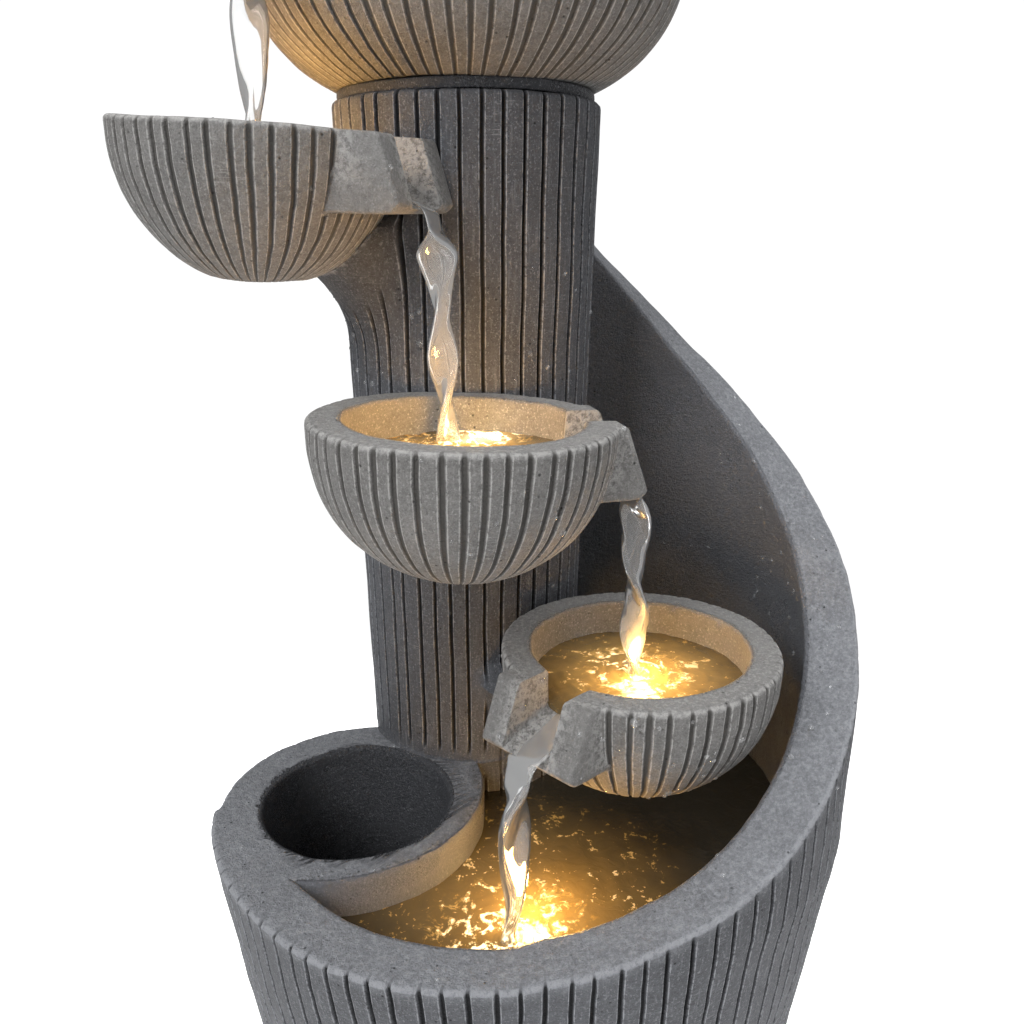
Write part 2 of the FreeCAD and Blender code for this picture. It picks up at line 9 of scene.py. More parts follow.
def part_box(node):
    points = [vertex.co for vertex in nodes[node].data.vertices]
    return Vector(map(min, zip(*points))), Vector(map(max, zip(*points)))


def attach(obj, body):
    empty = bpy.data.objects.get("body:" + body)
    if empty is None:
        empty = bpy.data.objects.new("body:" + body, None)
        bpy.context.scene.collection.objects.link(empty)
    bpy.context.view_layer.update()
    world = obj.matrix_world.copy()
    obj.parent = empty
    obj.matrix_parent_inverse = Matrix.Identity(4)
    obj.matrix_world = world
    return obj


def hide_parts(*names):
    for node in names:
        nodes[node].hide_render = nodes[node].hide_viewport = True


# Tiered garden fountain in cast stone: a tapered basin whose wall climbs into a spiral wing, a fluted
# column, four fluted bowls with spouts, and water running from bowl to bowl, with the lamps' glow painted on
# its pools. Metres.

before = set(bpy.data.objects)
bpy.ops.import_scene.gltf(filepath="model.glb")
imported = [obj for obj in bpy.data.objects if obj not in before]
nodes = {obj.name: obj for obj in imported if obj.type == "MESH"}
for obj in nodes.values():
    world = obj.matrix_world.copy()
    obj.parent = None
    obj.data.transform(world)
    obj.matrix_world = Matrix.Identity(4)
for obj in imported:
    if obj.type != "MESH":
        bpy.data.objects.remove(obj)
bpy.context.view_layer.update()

# ---- sizes ------------------------------------------------------------------------------------------
ORIGIN = Vector((0, 0, 0))
column_low, column_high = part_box("column_casting")
COLUMN = Vector(((column_low.x + column_high.x) / 2, (column_low.y + column_high.y) / 2, 0))
BASE = COLUMN + Vector((0.054, -0.090, 0))
RIM = column_low.z
COLUMN_TOP = column_high.z
COLUMN_FOOT_R = 0.088
COLUMN_TOP_R = (column_high.x - column_low.x) / 2
COLUMN_WALL = 0.014
WELL_R = COLUMN_FOOT_R - COLUMN_WALL
COLUMN_SEAT_R = 0.0865
FOOT_TENON_R = COLUMN_FOOT_R - 0.005
FLOOR_Z = 0.215

BASE_R = 0.237
BASE_BULGE = 0.020
BASE_TAPER = 0.175
WALL = 0.038
LIP_ROUND = 0.004
SHOULDER = BASE + Vector((-0.136, -0.049, 0))
SHOULDER_R = 0.106
POCKET = BASE + Vector((-0.139, -0.049, 0))
POCKET_R = 0.070
POCKET_FLOOR_Z = 0.145
PARTITION = BASE + Vector((-0.154, -0.033, 0))
PARTITION_R = 0.112
WEB = BASE + Vector((math.cos(math.radians(105)), math.sin(math.radians(105)), 0)) * 0.205
WING_START = -95.0
WING_END = 128.0
WING_TOP = 0.430

BOWL_DEPTH = 0.103
BOWL_BOTTOM = 0.0965
BOWL_ROUND = 2.3
BOWL_LIP = 0.022
BOWL_INSIDE = 0.072
SPOUT_HALF = 0.039
TROUGH_HALF = 0.019
WATER_BELOW_LIP = 0.025
POOL_INTO_WALL = 0.0015
TOP_LIP_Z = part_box("top_bowl")[1].z
CROWN = Vector((COLUMN.x, COLUMN.y, TOP_LIP_Z))
TOP_BOWL_R = 0.160
TOP_BOWL_DEPTH = 0.1274
TOP_BOWL_BOTTOM = 0.109
TOP_BOWL_ROUND = 2.87
TOP_BOWL_INSIDE = 0.076
TOP_SPOUT = -131.0

# bowl: centre of the lip, lip radius, the spout's plan angle and its lean in degrees, its extra reach
BOWLS = {
    "upper": (BASE + Vector((-0.189, 0.002, 0.818)), 0.095, -22.5, 4.2, 0.015),
    "middle": (BASE + Vector((-0.050, -0.096, 0.642)), 0.0975, 14.0, 2.1, -0.005),
    "lower": (BASE + Vector((0.069, -0.074, 0.477)), 0.097, -135.0, 0.0, 0.0),
}


# ---- mesh helpers -----------------------------------------------------------------------------------
def add_piece(name, mesh):
    piece = bpy.data.objects.new(name, mesh)
    bpy.context.scene.collection.objects.link(piece)
    return piece


def ring_solid(name, rings, **marks):
    """Closed solid from rings of points, lowest first, each counter-clockwise from above."""
    rings = np.asarray(rings, float)
    rows, columns, _ = rings.shape
    points = np.vstack([rings.reshape(-1, 3), rings[0].mean(0), rings[-1].mean(0)])
    here = np.arange(rows * columns).reshape(rows, columns)
    beside = np.roll(here, -1, axis=1)
    quads = np.stack([here[:-1], beside[:-1], beside[1:], here[1:]], -1).reshape(-1, 4)
    low = np.full(columns, rows * columns)
    ends = [np.stack([beside[0], here[0], low], -1), np.stack([here[-1], beside[-1], low + 1], -1)]
    mesh = bpy.data.meshes.new(name)
    mesh.from_pydata(points.tolist(), [], quads.tolist() + np.vstack(ends).tolist())
    marks.setdefault("plain", 1.0)
    for mark, values in marks.items():
        values = np.asarray(values, np.float32)
        if values.shape[-1:] == (3,) and values.ndim == 3:
            data = np.vstack([values.reshape(-1, 3), np.zeros((2, 3), np.float32)])
            mesh.attributes.new(mark, "FLOAT_VECTOR", "POINT").data.foreach_set("vector", data.ravel())
        else:
            data = np.broadcast_to(values, (rows, columns)).ravel()
            data = np.concatenate([data, data[:1], data[-1:]]).astype(np.float32)
            mesh.attributes.new(mark, "FLOAT", "POINT").data.foreach_set("value", data)
    return add_piece(name, mesh)


def mark_all(piece, **marks):
    for mark, value in marks.items():
        found = piece.data.attributes.get(mark) or piece.data.attributes.new(mark, "FLOAT", "POINT")
        found.data.foreach_set("value", np.full(len(piece.data.vertices), value, np.float32))
    return piece


def prism(name, profile, half, bevel=0.0, **marks):
    """Block with a side profile of (x, z) points, from y = -half to half."""
    bm = bmesh.new()
    left = [bm.verts.new((x, -half, z)) for x, z in profile]
    face = bm.faces.new(left)
    moved = bmesh.ops.extrude_face_region(bm, geom=[face])["geom"]
    right = [v for v in moved if isinstance(v, bmesh.types.BMVert)]
    bmesh.ops.translate(bm, vec=(0, 2 * half, 0), verts=right)
    if bevel:
        bmesh.ops.bevel(bm, geom=list(bm.edges), offset=bevel, segments=3, profile=0.5, affect="EDGES")
    bmesh.ops.recalc_face_normals(bm, faces=bm.faces)
    mesh = bpy.data.meshes.new(name)
    bm.to_mesh(mesh)
    bm.free()
    marks.setdefault("plain", 1.0)
    return mark_all(add_piece(name, mesh), **marks)


def bake(piece):
    """Turns a piece and its live modifiers into a plain mesh."""
    bpy.context.view_layer.update()
    graph = bpy.context.evaluated_depsgraph_get()
    mesh = bpy.data.meshes.new_from_object(piece.evaluated_get(graph), depsgraph=graph)
    piece.modifiers.clear()
    old = piece.data
    piece.data = mesh
    bpy.data.meshes.remove(old)
    mesh.name = piece.name
    return piece


def carve(piece, tool, operation="DIFFERENCE"):
    cut = piece.modifiers.new("cut", "BOOLEAN")
    cut.operation = operation
    cut.solver = "MANIFOLD"
    cut.object = tool
    bake(piece)
    remove(tool)
    return piece


def remove(piece):
    mesh = piece.data
    bpy.data.objects.remove(piece)
    bpy.data.meshes.remove(mesh)


def place(piece, matrix):
    piece.data.transform(matrix)
    return piece


def points_of(piece):
    points = np.zeros(len(piece.data.vertices) * 3)
    piece.data.vertices.foreach_get("co", points)
    return points.reshape(-1, 3)


def wobble(points, amount, length, seed):
    """Smooth uneven field of vectors, as left by a hand-finished mould."""
    rng = np.random.default_rng(seed)
    field = np.zeros_like(points)
    waves = 7
    for _ in range(waves):
        turns = rng.normal(size=(3, 3)) * 2 * math.pi / length / 1.7
        field += np.sin(points @ turns + rng.uniform(0, 2 * math.pi, 3))
    return field * amount / math.sqrt(waves)


def hand_finish(piece, stone, amount=0.00045, seed=1):
    """Unevenness of a casting, then smooth shading that breaks at real edges."""
    piece.data.materials.clear()
    piece.data.materials.append(stone)
    piece.data.polygons.foreach_set("material_index", np.zeros(len(piece.data.polygons), np.int32))
    points = points_of(piece)
    short, long = wobble(points, amount * 0.45, 0.022, seed), wobble(points, amount * 1.3, 0.12, seed + 50)
    points = points + short + long
    piece.data.vertices.foreach_set("co", points.ravel())
    piece.data.update()
    piece.data.shade_smooth()
    piece.data.set_sharp_from_angle(angle=math.radians(38))
    return piece


def ease(x):
    x = np.clip(x, 0.0, 1.0)
    return x * x * (3 - 2 * x)


# ---- flutes -----------------------------------------------------------------------------------------
FLUTE_OFFSETS = np.array((-1.6, -1.2, -0.85, -0.42, 0.0, 0.42, 0.85, 1.2, 1.6))


def flute_columns(count, width_share, seed):
    """Where the columns of a fluted grid stand, as shares of the way round, with each one's distance
    from its groove's centre in half widths and the number of its groove."""
    rng = np.random.default_rng(seed)
    centres = np.arange(count) + 0.5 + rng.uniform(-0.09, 0.09, count)
    halves = width_share / 2 * (1 + rng.uniform(-0.13, 0.13, count))
    place_list, offset_list, number_list = [], [], []
    for i in range(count):
        stops = centres[i] + FLUTE_OFFSETS * halves[i]
        end = centres[i + 1] + FLUTE_OFFSETS[0] * halves[i + 1] if i + 1 < count \
            else centres[0] + count + FLUTE_OFFSETS[0] * halves[0]
        rib = stops[-1] + (end - stops[-1]) * np.array((0.5,))
        place_list += [*stops, *rib]
        offset_list += [*np.abs(FLUTE_OFFSETS), *(9.0 for _ in rib)]
        number_list += [i] * (len(stops) + len(rib))
    return np.array(place_list) / count, np.array(offset_list), np.array(number_list)


def rib_edges(offsets):
    return np.where(np.abs(offsets - 1.2) < 0.01, 1.0, 0.0)


def add_node(tree, kind, settings=None, sockets=None):
    """Adds a node to a geometry tree; its settings come first, then the values or links of its sockets."""
    made = tree.nodes.new(kind)
    for key, value in (settings or {}).items():
        setattr(made, key, value)
    for key, value in (sockets or {}).items():
        if isinstance(value, bpy.types.NodeSocket):
            tree.links.new(value, made.inputs[key])
        else:
            made.inputs[key].default_value = value
    return made


def new_tree(name, sizes, material):
    """Empty geometry tree whose inputs are a mesh, sizes, a seed and a material, with its two end nodes."""
    tree = bpy.data.node_groups.new(name, "GeometryNodeTree")
    tree.interface.new_socket("Geometry", in_out="INPUT", socket_type="NodeSocketGeometry")
    for label in sizes:
        tree.interface.new_socket(label, in_out="INPUT", socket_type="NodeSocketFloat")
    tree.interface.new_socket("Seed", in_out="INPUT", socket_type="NodeSocketInt")
    tree.interface.new_socket(material, in_out="INPUT", socket_type="NodeSocketMaterial")
    tree.interface.new_socket("Geometry", in_out="OUTPUT", socket_type="NodeSocketGeometry")
    return tree, tree.nodes.new("NodeGroupInput"), tree.nodes.new("NodeGroupOutput")


def close_tree(tree, geometry, material, result):
    """Ends a geometry tree: plain geometry in the given material."""
    real = add_node(tree, "GeometryNodeRealizeInstances", None, {"Geometry": geometry})
    coat = add_node(tree, "GeometryNodeSetMaterial", None,
                    {"Geometry": real.outputs[0], "Material": material})
    tree.links.new(coat.outputs[0], result.inputs[0])
    return tree


def flute_tree():
    """Node tree that carves flutes into a grid whose points say where they stand in their groove."""
    tree, given, result = new_tree("carve_flutes", ("Depth", "Uneven"), "Stone")

    def named(label, kind="FLOAT"):
        mark = add_node(tree, "GeometryNodeInputNamedAttribute", {"data_type": kind}, {"Name": label})
        return mark.outputs[0]

    def maths(operation, *values):
        return add_node(tree, "ShaderNodeMath", {"operation": operation}, dict(enumerate(values))).outputs[0]

    wall = add_node(tree, "ShaderNodeMapRange", {"interpolation_type": "SMOOTHSTEP"},
                    {"Value": named("groove_offset"), "From Min": 0.35, "From Max": 1.15,
                     "To Min": 1.0, "To Max": 0.0})
    share = maths("MULTIPLY", wall.outputs[0], named("groove_reach"))
    chance = add_node(tree, "FunctionNodeRandomValue", {"data_type": "FLOAT"},
                      {"ID": named("groove_number", "INT"), "Seed": given.outputs["Seed"]})
    spread = maths("MULTIPLY", maths("SUBTRACT", chance.outputs[1], 0.5), given.outputs["Uneven"])
    depth = maths("MULTIPLY", given.outputs["Depth"], maths("ADD", spread, 1.0))
    shift = add_node(tree, "ShaderNodeVectorMath", {"operation": "SCALE"},
                     {"Vector": named("inward", "FLOAT_VECTOR"), "Scale": maths("MULTIPLY", share, depth)})
    marked = add_node(tree, "GeometryNodeStoreNamedAttribute", {"data_type": "FLOAT", "domain": "POINT"},
                      {"Geometry": given.outputs["Geometry"], "Name": "groove", "Value": share})
    moved = add_node(tree, "GeometryNodeSetPosition", None,
                     {"Geometry": marked.outputs[0], "Offset": shift.outputs[0]})
    return close_tree(tree, moved.outputs[0], given.outputs["Stone"], result)


FLUTES = flute_tree()


def set_inputs(modifier, **values):
    """Sets a node modifier's inputs by their sockets' identifiers."""
    for item in modifier.node_group.interface.items_tree:
        if item.in_out == "INPUT" and item.name in values:
            modifier[item.identifier] = values[item.name]


def carve_flutes(piece, depth, stone, seed):
    flutes = piece.modifiers.new("flutes", "NODES")
    flutes.node_group = FLUTES
    set_inputs(flutes, Depth=depth, Uneven=0.3, Seed=seed, Stone=stone)
    bake(piece)
    for mark in ("groove_offset", "groove_reach", "groove_number", "inward"):
        piece.data.attributes.remove(piece.data.attributes[mark])
    return piece


# ---- basin and wing ---------------------------------------------------------------------------------
def far_side(centre, radius, angles):
    """Distance from the base's centre to the far side of a circle, along plan angles in radians."""
    dx, dy = centre.x - BASE.x, centre.y - BASE.y
    along = dx * np.cos(angles) + dy * np.sin(angles)
    across = dx * np.sin(angles) - dy * np.cos(angles)
    half = np.sqrt(np.clip(radius ** 2 - across ** 2, 0, None))
    return np.where(np.abs(across) >= radius, 0.001, np.maximum(0.001, along + half))


def outline_radius(angles):
    """Plan outline at the rim: the round basin, the pocket's shoulder and the column, blended."""
    d = np.degrees(angles) % 360
    fade_start, fade_end = 88.0, 132.0
    fade = np.clip((d - fade_start) / (fade_end - fade_start), 0, 1)
    round_part = np.where(d >= 270, BASE_R, BASE_R * (1 - 0.5 * ease(fade)))
    bulge = BASE_R + BASE_BULGE * np.sin(np.radians(2 * (d - 180)))
    round_part = np.where((d >= 195) & (d < 270), bulge, round_part)
    round_part = np.where((d > 175) & (d < 195), bulge * (d - 175) / 20, round_part)
    round_part = np.where((d > fade_end) & (d <= 175), 0.001, round_part)
    parts = (np.maximum(round_part, 0.001), far_side(COLUMN, COLUMN_FOOT_R, angles),
             far_side(SHOULDER, SHOULDER_R, angles))
    sharpness = 30
    return BASE_R * sum((r / BASE_R) ** sharpness for r in parts) ** (1.0 / sharpness)


def taper(z):
    return 1.0 - BASE_TAPER * np.clip(RIM - z, 0, None) / RIM


def wing_rise(angles):
    """Height of the wing's edge above the rim."""
    d = (np.degrees(angles) + 180) % 360 - 180
    t = d - WING_START
    rise = 0.000623 * t + 0.00001 * t ** 2 + 0.016 * np.exp(-((t - 108) / 38) ** 2)
    rise = np.where((t > 0) & (d < WING_END + 6), np.minimum(rise, WING_TOP), 0.0)
    return rise * (1 - ease((d - WING_END + 4) / 8))


def around(centre, radius, angles, z):
    radius, angles, z = np.broadcast_arrays(radius, angles, z)
    return np.stack([centre.x + radius * np.cos(angles), centre.y + radius * np.sin(angles), z], -1)


def inward(angles, rows):
    """Unit vectors towards a round piece's axis, for each point of a grid of rings."""
    return np.broadcast_to(-around(ORIGIN, 1.0, angles, 0.0), (rows, len(angles), 3))


def evenly_along_outline(shares):
    """Plan angles that stand at shares of the outline's length, from the back round by the front."""
    angles = np.radians(np.arange(-180.0, 180.05, 0.1))
    line = around(BASE, outline_radius(angles), angles, 0.0)
    run = np.concatenate([[0], np.cumsum(np.linalg.norm(np.diff(line, axis=0), axis=1))])
    return np.interp(np.asarray(shares) % 1.0 * run[-1], run, angles)


def rim_wear_and_highlight(lip):
    """Worn line where a lip turns over, which also carries a painted highlight: highest on the first ring
    that is all lip.
    """
    lip = np.array(lip)
    rows = np.zeros_like(lip)
    first = int(np.argmax(lip.mean(1) > 0.99))
    rows[first:first + 3] = np.array((0.6, 1.0, 0.7))[:, None]
    return rows


BASE_FLUTES = 100
BASE_ROWS = 54


def basin_block(stone):
    """Tapered basin with the wing's full wall on it, fluted, before anything is hollowed out."""
    shares, offsets, numbers = flute_columns(BASE_FLUTES, 0.22, 3)
    angles = evenly_along_outline(shares)
    order = np.argsort(angles)
    angles, offsets, numbers = angles[order], offsets[order], numbers[order]
    outer = outline_radius(angles)
    top = RIM + wing_rise(angles)
    bite = 0.75 - 0.70 * ease(wing_rise(angles) / 0.03)
    rings, reach, lip = [], [], []

    def add(radius, z, depth, lip_share):
        rings.append(around(BASE, radius, angles, z))
        reach.append(np.broadcast_to(depth, len(angles)))
        lip.append(np.full(len(angles), lip_share))

    foot = 0.004
    add(outer * taper(0) - foot, 0.0, 0.4, 0.0)
    add(outer * taper(0) - foot * 0.3, foot * 0.3, 0.8, 0.0)
    for share in np.linspace(0, 1, BASE_ROWS):
        z = foot + (top - LIP_ROUND - foot) * share
        near_top = ease(1 - (top - z) / 0.012)
        add(outer * taper(z), z, 1.0 - (1.0 - bite) * near_top, near_top * 0.5)
    for turn in np.radians((22, 45, 67, 90)):
        add(outer - LIP_ROUND * (1 - math.cos(turn)), top - LIP_ROUND * (1 - math.sin(turn)),
            bite * (1.0 - 0.5 * math.sin(turn)), 1.0)
    for inset, depth in ((0.0075, 0.25 * bite), (0.013, 0.0), (0.02, 0.0), (0.028, 0.0), (0.034, 0.0),
                         (0.04, 0.0), (0.06, 0.0)):
        add(outer - inset, top, depth, 1.0)
    for share in (1.0, 0.8, 0.6, 0.35):
        add((outer - 0.078) * share, RIM, 0.0, 1.0)
    marks = {"groove_offset": np.broadcast_to(offsets, (len(rings), len(angles))),
             "groove_number": np.broadcast_to(numbers, (len(rings), len(angles))),
             "groove_reach": np.array(reach), "lip": np.array(lip),
             "edge": np.maximum(rib_edges(offsets) * (np.array(reach) > 0.5), rim_wear_and_highlight(lip)),
             "inward": inward(angles, len(rings)),
             "inside": 0.0}
    block = ring_solid("basin_and_wing", rings, **marks)
    return carve_flutes(block, 0.0034, stone, 11)


def round_post(name, centre, profile, columns=128, **marks):
    """Upright turned solid from (radius, z) points, lowest first."""
    angles = np.linspace(-math.pi, math.pi, columns, endpoint=False)
    return ring_solid(name, [around(centre, r, angles, z) for r, z in profile], **marks)


def quarter(radius, z, fall, steps=5, outwards=True):
    """Points of a rounded corner: from the wall at radius up to z, turning in or out."""
    turns = np.linspace(0, math.pi / 2, steps)
    way = -1 if outwards else 1
    return [(radius + way * fall * (1 - math.cos(a)), z - fall + fall * math.sin(a)) for a in turns]


WALL_INSIDE = 0.5      # wet, coarse walls over the water, painted lighter as painted fill light, beside 1.0 in the planting pocket, which is painted dark as painted shade


def basin_hollow():
    angles = np.linspace(-math.pi, math.pi, 420, endpoint=False)
    outer = outline_radius(angles) - WALL
    top = RIM + wing_rise(angles)
    flare = 0.003
    rings = []
    for turn in np.radians((0, 30, 60, 90)):
        rings.append(around(BASE, outer - 0.010 * (1 - math.sin(turn)), angles,
                            FLOOR_Z + 0.010 * (1 - math.cos(turn))))
    for share in np.linspace(0.04, 1, 40):
        z = FLOOR_Z + 0.010 + (top - flare - FLOOR_Z - 0.010) * share
        rings.append(around(BASE, outer, angles, z))
    for turn in np.radians((25, 50, 70, 90)):
        out, down = flare * (1 - math.cos(turn)), flare * (1 - math.sin(turn))
        rings.append(around(BASE, outer + out, angles, top - down))
    rings.append(around(BASE, outer + flare, angles, top + 0.05))
    hollow = ring_solid("hollow", rings, inside=WALL_INSIDE)
    partition = [(PARTITION_R, 0.1), *quarter(PARTITION_R, RIM + 0.0006, 0.005)]
    tenon = [(FOOT_TENON_R, 0.1), (FOOT_TENON_R, RIM - 0.002)]
    for centre, profile, columns in ((PARTITION, partition, 200), (WEB, [(WALL, 0.1), (WALL, 0.9)], 90),
                                     (COLUMN, tenon, 90)):
        carve(hollow, round_post("kept", centre, profile, columns, inside=WALL_INSIDE))
    return hollow


def intake_slots(piece):
    """Openings in the column's foot that let the basin's water through to the pump."""
    top = FLOOR_Z + 0.045
    for i in range(5):
        angle = math.radians(-78 + 12 * i)
        slot = prism("slot", [(0.06, FLOOR_Z), (0.11, FLOOR_Z), (0.11, top), (0.06, top)], 0.004, inside=1.0)
        place(slot, Matrix.Translation(COLUMN) @ Matrix.Rotation(angle, 4, "Z"))
        carve(piece, slot)


def basin_and_wing(stone):
    block = basin_block(stone)
    carve(block, basin_hollow())
    flare, drain = 0.004, 0.006
    pocket = [(POCKET_R - 0.012, POCKET_FLOOR_Z), (POCKET_R - 0.004, POCKET_FLOOR_Z + 0.003),
              (POCKET_R, POCKET_FLOOR_Z + 0.012)]
    pocket += [(POCKET_R, z) for z in np.linspace(POCKET_FLOOR_Z + 0.02, RIM - flare - 0.004, 18)]
    pocket += [*quarter(POCKET_R, RIM, flare, outwards=False), (POCKET_R + flare, RIM + 0.03)]
    for centre, profile, columns in ((POCKET, pocket, 160),
                                     (POCKET, [(drain, -0.01), (drain, POCKET_FLOOR_Z + 0.01)], 24),
                                     (COLUMN, [(WELL_R, FLOOR_Z + 0.0005), (WELL_R, 0.9)], 90),
                                     (COLUMN, [(COLUMN_SEAT_R, RIM - 0.001), (COLUMN_SEAT_R, 0.9)], 90)):
        carve(block, round_post("tool", centre, profile, columns, inside=1.0))
    angles = np.linspace(-math.pi, math.pi, 180, endpoint=False)
    shell, ceiling = 0.016, FLOOR_Z - 0.014
    under = ring_solid("tool", [around(BASE, outline_radius(angles) * taper(z) - shell, angles, z)
                                for z in np.linspace(-0.005, ceiling, 12)], inside=1.0)
    cup = [(POCKET_R + 0.014, POCKET_FLOOR_Z - 0.014), (POCKET_R + 0.014, 0.4)]
    carve(under, round_post("tool", POCKET, cup, 96, inside=1.0))
    carve(block, under)
    intake_slots(block)
    return hand_finish(block, stone, 0.0005, 5)


# ---- column -----------------------------------------------------------------------------------------
COLUMN_FLUTES = 42
CORBEL_REACH = {"upper": 0.112, "middle": 0.120, "lower": 0.146}


def column_radius(z):
    share = np.clip((z - RIM) / (COLUMN_TOP - RIM), 0, 1)
    return COLUMN_FOOT_R + (COLUMN_TOP_R - COLUMN_FOOT_R) * share


def corbel_bulge(angles, z):
    """How far the brackets under the bowls stand out from the column."""
    total = np.zeros(np.broadcast(angles, z).shape)
    for name, (centre, *_) in BOWLS.items():
        towards = math.atan2(centre.y - COLUMN.y, centre.x - COLUMN.x)
        turn = (angles - towards + math.pi) % (2 * math.pi) - math.pi
        top = centre.z - 0.068
        foot = max(RIM + 0.012, top - 0.085)
        share = np.clip((z - foot) / (top - foot), 0, 1)
        half = math.radians(30) + math.radians(6) * share
        bell = np.clip(1 - (turn / half) ** 2, 0, None) ** 1.6
        reach = CORBEL_REACH[name] + 0.042 - COLUMN_FOOT_R
        above = 1 - ease((z - top) / 0.012)
        total = np.maximum(total, reach * share ** 2.0 * bell * above)
    return total


def column_shell(stone):
    shares, offsets, numbers = flute_columns(COLUMN_FLUTES, 0.23, 7)
    angles = shares * 2 * math.pi - math.pi
    heights = [FLOOR_Z + 0.0008, *np.linspace(FLOOR_Z + 0.008, RIM - 0.004, 14)]
    heights += [RIM + step for step in (0.0, 0.0015, 0.003, 0.005, 0.008)]
    heights += list(np.linspace(RIM + 0.013, COLUMN_TOP - 0.004, 72))
    fillet_weight = ease((80 - np.abs((np.degrees(angles) - 222 + 180) % 360 - 180)) / 25)
    fillet = 0.0025
    rings, reach = [], []
    for z in heights:
        bulge = corbel_bulge(angles, z)
        radius = column_radius(z) + bulge
        rise = np.clip((z - RIM) / fillet, 0, 1)
        foot_out = fillet * (1 - math.sqrt(1 - (1 - rise) ** 2))
        radius = radius + foot_out * fillet_weight * (z >= RIM)
        ring = around(COLUMN, radius, angles, z)
        if z < RIM + 0.001:
            flat = ring[:, :2] - np.array((BASE.x, BASE.y))
            far = np.linalg.norm(flat, axis=1)
            toward = np.arctan2(flat[:, 1], flat[:, 0])
            limit = outline_radius(toward) * taper(z) - 0.006
            ring[:, :2] = np.array((BASE.x, BASE.y)) + flat * np.minimum(1, limit / far)[:, None]
        rings.append(ring)
        near_foot = (1 - ease((z - RIM - 0.004) / 0.012)) * (z > RIM - 0.02)
        reach.append((1 - ease((bulge - 0.002) / 0.010)) * (1 - fillet_weight * near_foot))
    for turn in np.radians((30, 60, 90)):
        rings.append(around(COLUMN, COLUMN_TOP_R - 0.004 * (1 - math.cos(turn)), angles,
                            COLUMN_TOP - 0.004 * (1 - math.sin(turn))))
        reach.append(np.full(len(angles), 1.0 - 0.3 * math.sin(turn)))
    rings.append(around(COLUMN, COLUMN_TOP_R - 0.02, angles, COLUMN_TOP))
    reach.append(np.zeros(len(angles)))
    reach = np.array(reach)
    shape = reach.shape
    column = ring_solid("column_shell", rings, groove_offset=np.broadcast_to(offsets, shape),
                        groove_number=np.broadcast_to(numbers, shape), groove_reach=reach,
                        edge=rib_edges(offsets) * reach, lip=0.0, inside=0.0,
                        inward=inward(angles, shape[0]))
    carve_flutes(column, 0.0033, stone, 23)
    for name in BOWLS:
        carve(column, bowl_blank("tool", name, 0.0004))
    pipe_hole = 0.009
    for profile, columns in (([(FOOT_TENON_R, 0.1), (FOOT_TENON_R, RIM - 0.002)], 90),
                             ([(WELL_R, 0.1), (COLUMN_TOP_R - COLUMN_WALL, COLUMN_TOP - 0.016)], 90),
                             ([(pipe_hole, COLUMN_TOP - 0.03), (pipe_hole, COLUMN_TOP + 0.01)], 24)):
        carve(column, round_post("tool", COLUMN, profile, columns, inside=1.0))
    door_hole(column)
    return hand_finish(column, stone, 0.00035, 9)


# ---- rear door --------------------------------------------------------------------------------------
DOOR_LOW, DOOR_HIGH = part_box("rear_door")
DOOR_ANGLE = math.radians(150)
DOOR_HALF = 0.040
DOOR_Z = (0.375, 0.505)
DOOR_REBATE = 0.007
DOOR_GAP = 0.0006


def facing_door(piece):
    return place(piece, Matrix.Translation(COLUMN) @ Matrix.Rotation(DOOR_ANGLE, 4, "Z"))


def block_out(name, near, far, half, low, high, **marks):
    """Upright block out of the column at the door's angle."""
    return facing_door(prism(name, [(near, low), (far, low), (far, high), (near, high)], half, **marks))


def rebate_face():
    low, high = (column_radius(np.array(z)) - DOOR_REBATE for z in (DOOR_Z[0] - 0.02, DOOR_Z[1] + 0.02))
    return [(float(low), DOOR_Z[0] - 0.02), (float(high), DOOR_Z[1] + 0.02)]


def door_hole(column):
    rebate = block_out("tool", 0.04, 0.13, DOOR_HALF, *DOOR_Z, inside=1.0)
    carve(rebate, round_post("tool", COLUMN, rebate_face(), 128, inside=1.0))
    carve(column, rebate)
    lip = DOOR_REBATE
    opening = block_out("tool", 0.04, 0.13, DOOR_HALF - lip, DOOR_Z[0] + lip, DOOR_Z[1] - lip, inside=1.0)
    carve(column, opening)
    grommet_low, grommet_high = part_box("cord_grommet")
    z = (grommet_low.z + grommet_high.z) / 2
    bore = round_post("tool", ORIGIN, [(0.0072, 0.06), (0.0072, 0.11)], 32, inside=1.0)
    place(bore, Matrix.Translation((0, 0, z)) @ Matrix.Rotation(math.pi / 2, 4, "Y"))
    carve(column, facing_door(bore))


def door_panel(stone):
    shares, offsets, numbers = flute_columns(COLUMN_FLUTES, 0.23, 7)
    angles = shares * 2 * math.pi - math.pi
    heights = np.linspace(DOOR_Z[0] - 0.01, DOOR_Z[1] + 0.01, 20)
    rings = [around(COLUMN, column_radius(z), angles, z) for z in heights]
    shape = (len(heights), len(angles))
    panel = ring_solid("door_panel", rings, groove_offset=np.broadcast_to(offsets, shape),
                       groove_number=np.broadcast_to(numbers, shape), groove_reach=np.ones(shape),
                       edge=np.broadcast_to(rib_edges(offsets), shape), lip=0.0, inside=0.0,
                       inward=inward(angles, shape[0]))
    carve_flutes(panel, 0.0033, stone, 23)
    back = [(r + 0.0004, z) for r, z in rebate_face()]
    carve(panel, round_post("tool", COLUMN, back, 128, inside=1.0))
    gap = DOOR_GAP
    panel_block = block_out("tool", 0.04, 0.13, DOOR_HALF - gap, DOOR_Z[0] + gap, DOOR_Z[1] - gap)
    carve(panel, panel_block, "INTERSECT")
    pull = round_post("tool", ORIGIN, [(0.009, 0.07), (0.009, 0.12)], 48, inside=1.0)
    place(pull, Matrix.Translation((0, 0, DOOR_Z[1] - 0.026)) @ Matrix.Rotation(math.pi / 2, 4, "Y"))
    carve(panel, facing_door(pull))
    return hand_finish(panel, stone, 0.0002, 9)


